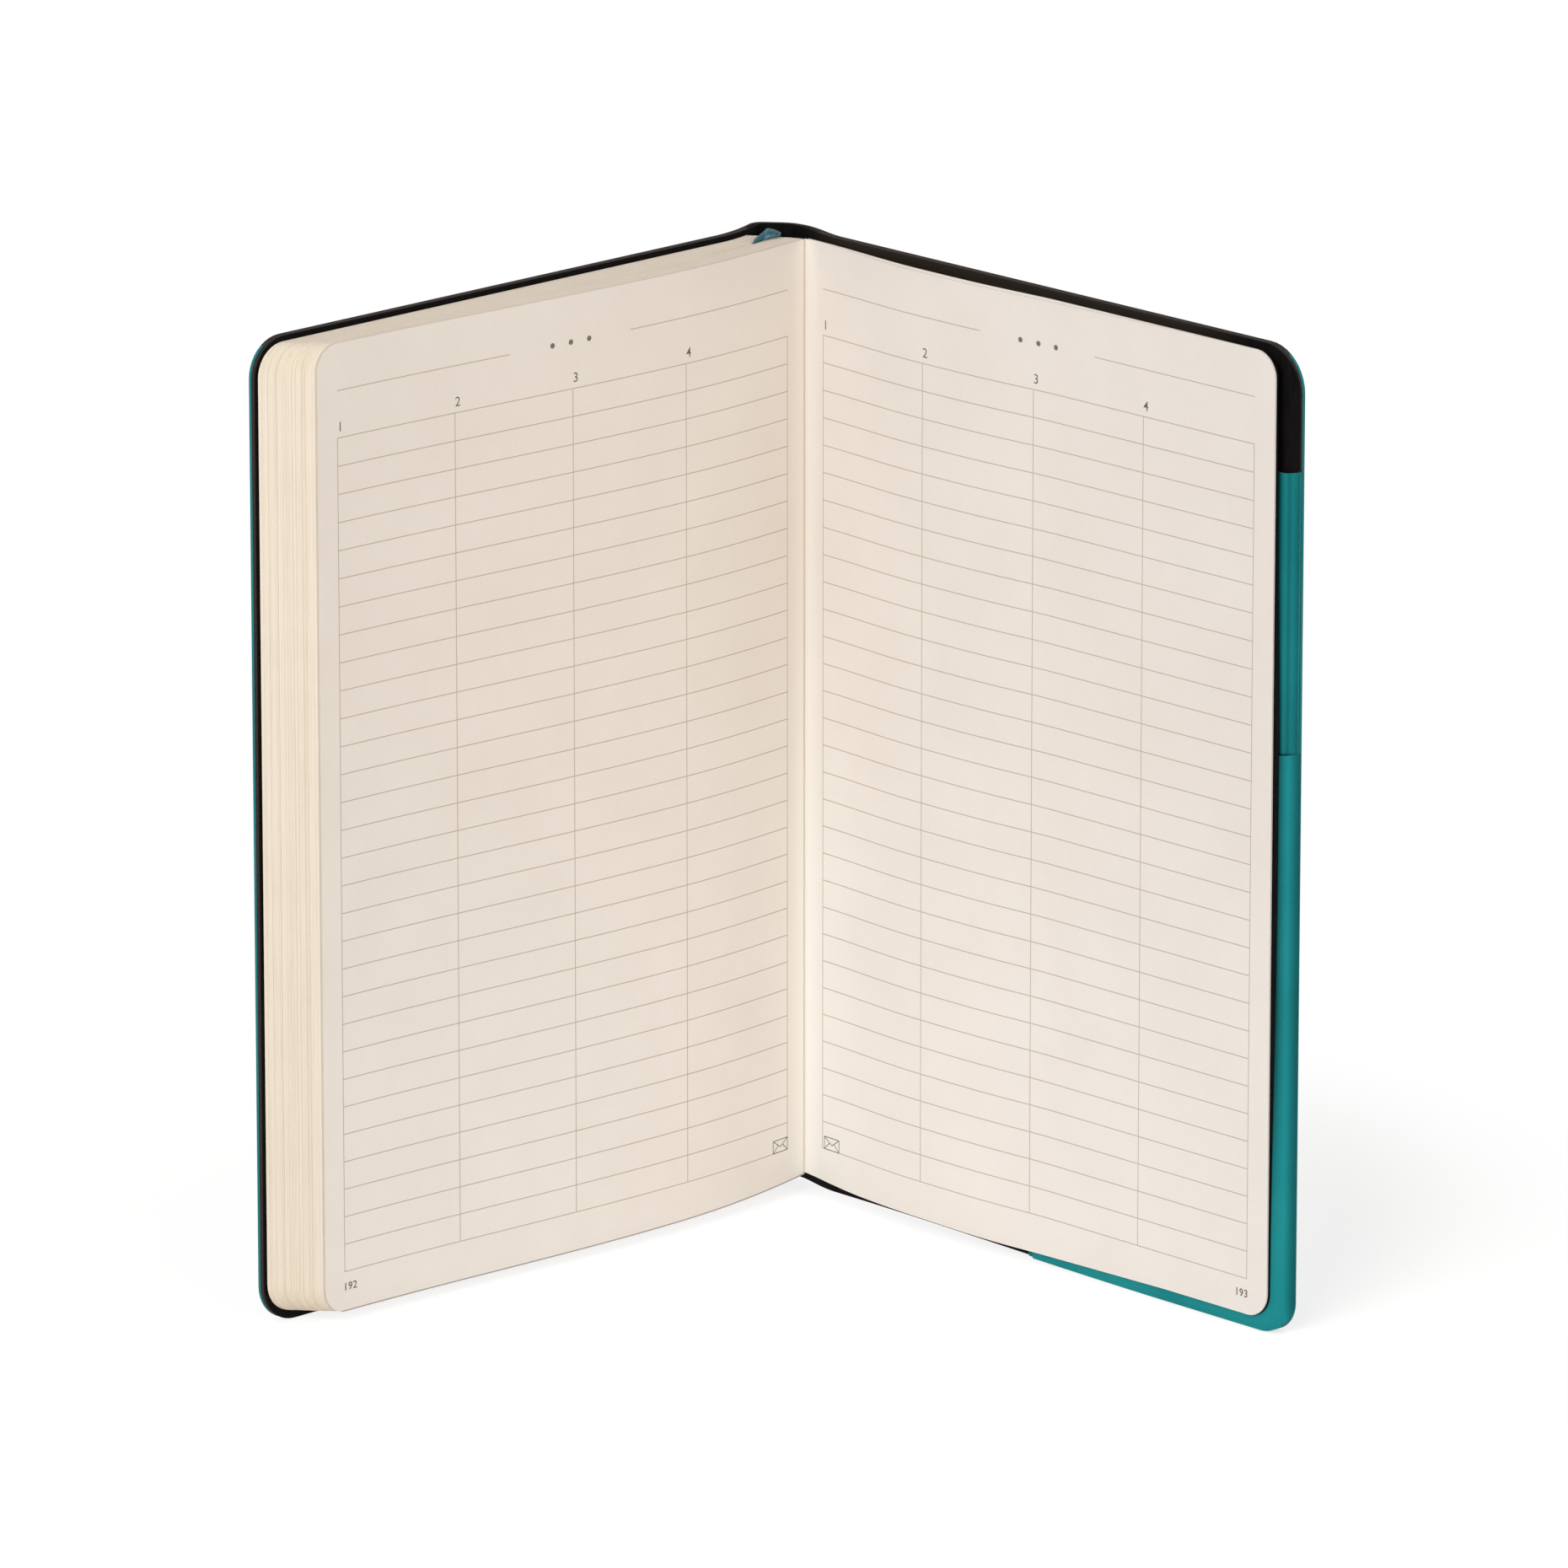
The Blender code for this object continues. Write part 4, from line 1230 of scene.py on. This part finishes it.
def ribbonStations():
    glued, loop, laid = ribbonShape["steps"]
    back = blockBack(ribbonShape["backShare"], ribbonShape["backGap"])
    acrossBack = (blockBack(1.0, 0.0) - blockBack(0.0, 0.0)).normalized()
    share = block["ribbonAfter"] / block["sections"]
    s = ribbonShape["at"]
    inside = Vector((s, blockLevel(s, share), 0.0))
    reach = 0.5 * ribbonShape["width"]
    rise = blockLevel(s - reach, share) - blockLevel(s + reach, share)
    alongPage = Vector((-2 * reach, rise, 0)).normalized()
    stations = [(back + Vector((0, 0, z)), acrossBack)
                for z in steps(paper["head"] - ribbonShape["glued"], paper["head"], glued)[:-1]]
    head = Vector((0, 0, paper["head"]))
    bulge = inside + head + Vector((0, ribbonShape["bulge"], ribbonShape["rise"][1]))
    ends = [back + head, back + head + Vector((0, 0, ribbonShape["rise"][0])), bulge, inside + head]
    for turn in steps(0.0, 1.0, loop):
        across = (0.5 - 0.5 * math.cos(math.pi * turn)) ** ribbonShape["lean"]
        weights = ((1 - turn) ** 3, 3 * turn * (1 - turn) ** 2, 3 * turn ** 2 * (1 - turn), turn ** 3)
        centre = sum((weight * point for weight, point in zip(weights, ends)), Vector((0, 0, 0)))
        stations.append((centre, acrossBack.slerp(alongPage, across)))
    stations += [(inside + Vector((0, 0, z)), alongPage)
                 for z in steps(paper["head"], ribbonShape["tail"], laid)[1:]]
    return stations


def curled(spot, side):
    # the loop's two edges curl down towards the head of the book
    above = spot.z - paper["head"]
    if above <= 0:
        return spot
    drop = ribbonShape["curl"][0] * max(-side, 0) ** 1.5 + ribbonShape["curl"][1] * max(side, 0) ** 2
    return Vector((spot.x, spot.y, paper["head"] + above * (1 - drop)))


def ribbonNarrow(k, z):
    # the ribbon is pinched on one side where it leaves the block's back
    glued, loop, _ = ribbonShape["steps"]
    turn = (k + 1 - glued) / loop
    pinched = between(z, paper["head"] - ribbonShape["pinchFrom"], paper["head"])
    if turn > 0:
        pinched = 1 - between(turn, *ribbonShape["pinchTo"])
    return 1 - (1 - ribbonShape["pinch"]) * pinched


def buildRibbon():
    stations = ribbonStations()
    acrossRow = steps(-1.0, 1.0, ribbonShape["acrossSteps"])
    outline = [(a, -1) for a in acrossRow] + [(a, 1) for a in reversed(acrossRow)]
    count = len(outline)
    bm = bmesh.new()
    uv = bm.loops.layers.uv.new("flat")
    lengths = [0.0]
    for (a, _), (b, _) in zip(stations, stations[1:]):
        lengths.append(lengths[-1] + (b - a).length)
    loops = []
    for k, (centre, across) in enumerate(stations):
        before, after = stations[max(k - 1, 0)][0], stations[min(k + 1, len(stations) - 1)][0]
        depth = (after - before).cross(across).normalized()
        narrow = ribbonNarrow(k, centre.z)
        ring = []
        for a, b in outline:
            spot = centre + across * (0.5 * (a * narrow if a < 0 else a) * ribbonShape["width"])
            spot = curled(spot, a) + depth * (0.5 * b * ribbonShape["thick"])
            ring.append(bm.verts.new(onFront(spot.x, spot.y, spot.z)))
        loops.append([bm.edges.new((ring[j], ring[j - 1])) for j in range(count)])
    for first, second in zip(loops, loops[1:]):
        bmesh.ops.bridge_loops(bm, edges=first + second)
    bmesh.ops.holes_fill(bm, edges=loops[0] + loops[-1], sides=0)
    order = {vert: divmod(k, count) for k, vert in enumerate(bm.verts)}
    for face in bm.faces:
        for loop in face.loops:
            k, j = order[loop.vert]
            loop[uv].uv = (0.5 * (1 + outline[j][0]) * ribbonShape["width"], lengths[k])
    bmesh.ops.recalc_face_normals(bm, faces=bm.faces[:])
    return smoothFaces(newPiece("ribbonMarker", bm, ribbonCloth), 50)


ribbon = buildRibbon()
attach(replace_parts(ribbon, "ribbon_marker"), "text_block")
for node, material in (("spine_mull", gauzeCloth()), ("sewing_thread", linenThread())):
    materials = frame["nodes"][node].data.materials
    materials.clear()
    materials.append(material)
print("ribbon ready")

# Floor, light and camera

studio = {
    "world": 0.46,
    "key": {"place": (-0.9, -1.6, 1.2), "size": 1.4, "power": 22.0},
    "fill": {"place": (1.3, -1.5, 0.8), "size": 1.4, "power": 8.4},
    "target": (0.0, 0.0, 0.09),
}
floorLook = {
    "size": 4.0,
    "drop": 0.02 * mm,
    "colour": (0.905, 0.868, 0.848),
    "cloud": (6.0, 1.01),  # scale, and how much lighter
    "lit": 0.56,
    "shadow": (0.31, 0.82),  # left, right
    "shadowAt": (0.06, 0.11),
    "near": (0.105, 0.168),
}
view = {"place": (-16.8 * mm, -2466.7 * mm, 794.3 * mm), "pitch": 15.968, "yaw": -0.428, "lens": 330.1,
        "sensor": 36.0, "far": 50.0}


def paleFloor():
    # seen by the camera, the lit floor is white and only the object's shadow is left of its shading
    finish = Finish("paleFloor")
    place = finish.place()
    scale, lighter = floorLook["cloud"]
    colour = finish.ramp(finish.noise(place, scale, 2.0), floorLook["colour"],
                         [lighter * part for part in floorLook["colour"]])
    finish.set(Base_Color=colour, Roughness=0.8, Specular_IOR_Level=0.1)
    away = finish.node("VectorMath", {"operation": "LENGTH"}, Vector=place).outputs["Value"]
    depth = finish.fall(finish.axes(place)[0], *floorLook["shadowAt"], *floorLook["shadow"])
    near = finish.times(finish.fall(away, *floorLook["near"]), depth)
    lit = finish.minus(1.0, finish.times(near, floorLook["lit"]))
    white = finish.math("DIVIDE", lit, finish.minus(1.0, near))
    glow = finish.node("Emission", None, Strength=white).outputs[0]
    rays = finish.node("LightPath").outputs
    direct = finish.math("MAXIMUM", rays["Is Glossy Ray"], rays["Is Transmission Ray"])
    direct = finish.math("MAXIMUM", rays["Is Camera Ray"], direct)
    shaded = finish.shader.outputs[0]
    seen = mixShaders(finish, near, glow, shaded)
    output = finish.tree.nodes["Material Output"]
    finish.feed(output.inputs["Surface"], mixShaders(finish, direct, shaded, seen))
    return finish.material


def mixShaders(finish, factor, first, second):
    made = finish.node("MixShader", None, Fac=factor)
    finish.feed(made.inputs[1], first)
    finish.feed(made.inputs[2], second)
    return made.outputs[0]


def buildFloor():
    bm = bmesh.new()
    bmesh.ops.create_grid(bm, x_segments=8, y_segments=8, size=floorLook["size"])
    floor = newPiece("studioFloor", bm, paleFloor())
    floor.location.z = -floorLook["drop"]
    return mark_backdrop(floor)


def addLamp(name, settings):
    data = bpy.data.lights.new(name, "AREA")
    data.shape = "SQUARE"
    data.size = settings["size"]
    data.energy = settings["power"]
    lamp = bpy.data.objects.new(name, data)
    lamp.location = settings["place"]
    aim = Vector(studio["target"]) - Vector(settings["place"])
    lamp.rotation_euler = aim.to_track_quat("-Z", "Y").to_euler()
    bpy.context.scene.collection.objects.link(lamp)


def setWorld():
    # white where it is seen, and dimmer where it only lights the object
    world = bpy.data.worlds.new("studioWorld")
    world.use_nodes = True
    tree = world.node_tree
    background = tree.nodes["Background"]
    background.inputs["Color"].default_value = (1, 1, 1, 1)
    rays = tree.nodes.new("ShaderNodeLightPath").outputs
    straight, seen = [tree.nodes.new("ShaderNodeMath") for _ in range(2)]
    straight.operation = seen.operation = "MAXIMUM"
    level = tree.nodes.new("ShaderNodeMapRange")
    level.inputs["To Min"].default_value = studio["world"]
    level.inputs["To Max"].default_value = 1.0
    for source, socket in ((rays["Is Glossy Ray"], straight.inputs[0]),
                           (rays["Is Transmission Ray"], straight.inputs[1]),
                           (rays["Is Camera Ray"], seen.inputs[0]),
                           (straight.outputs[0], seen.inputs[1]),
                           (seen.outputs[0], level.inputs["Value"]),
                           (level.outputs["Result"], background.inputs["Strength"])):
        tree.links.new(source, socket)
    bpy.context.scene.world = world


def addCamera():
    data = bpy.data.cameras.new("photoCamera")
    data.sensor_width = view["sensor"]
    data.lens = view["lens"]
    data.clip_end = view["far"]
    camera = bpy.data.objects.new("photoCamera", data)
    camera.location = view["place"]
    camera.rotation_euler = (math.radians(90 - view["pitch"]), 0, math.radians(view["yaw"]))
    bpy.context.scene.collection.objects.link(camera)
    bpy.context.scene.camera = camera


buildFloor()
addLamp("keyLamp", studio["key"])
addLamp("fillLamp", studio["fill"])
setWorld()
addCamera()
bpy.context.scene.view_settings.view_transform = "Standard"
print("studio ready")
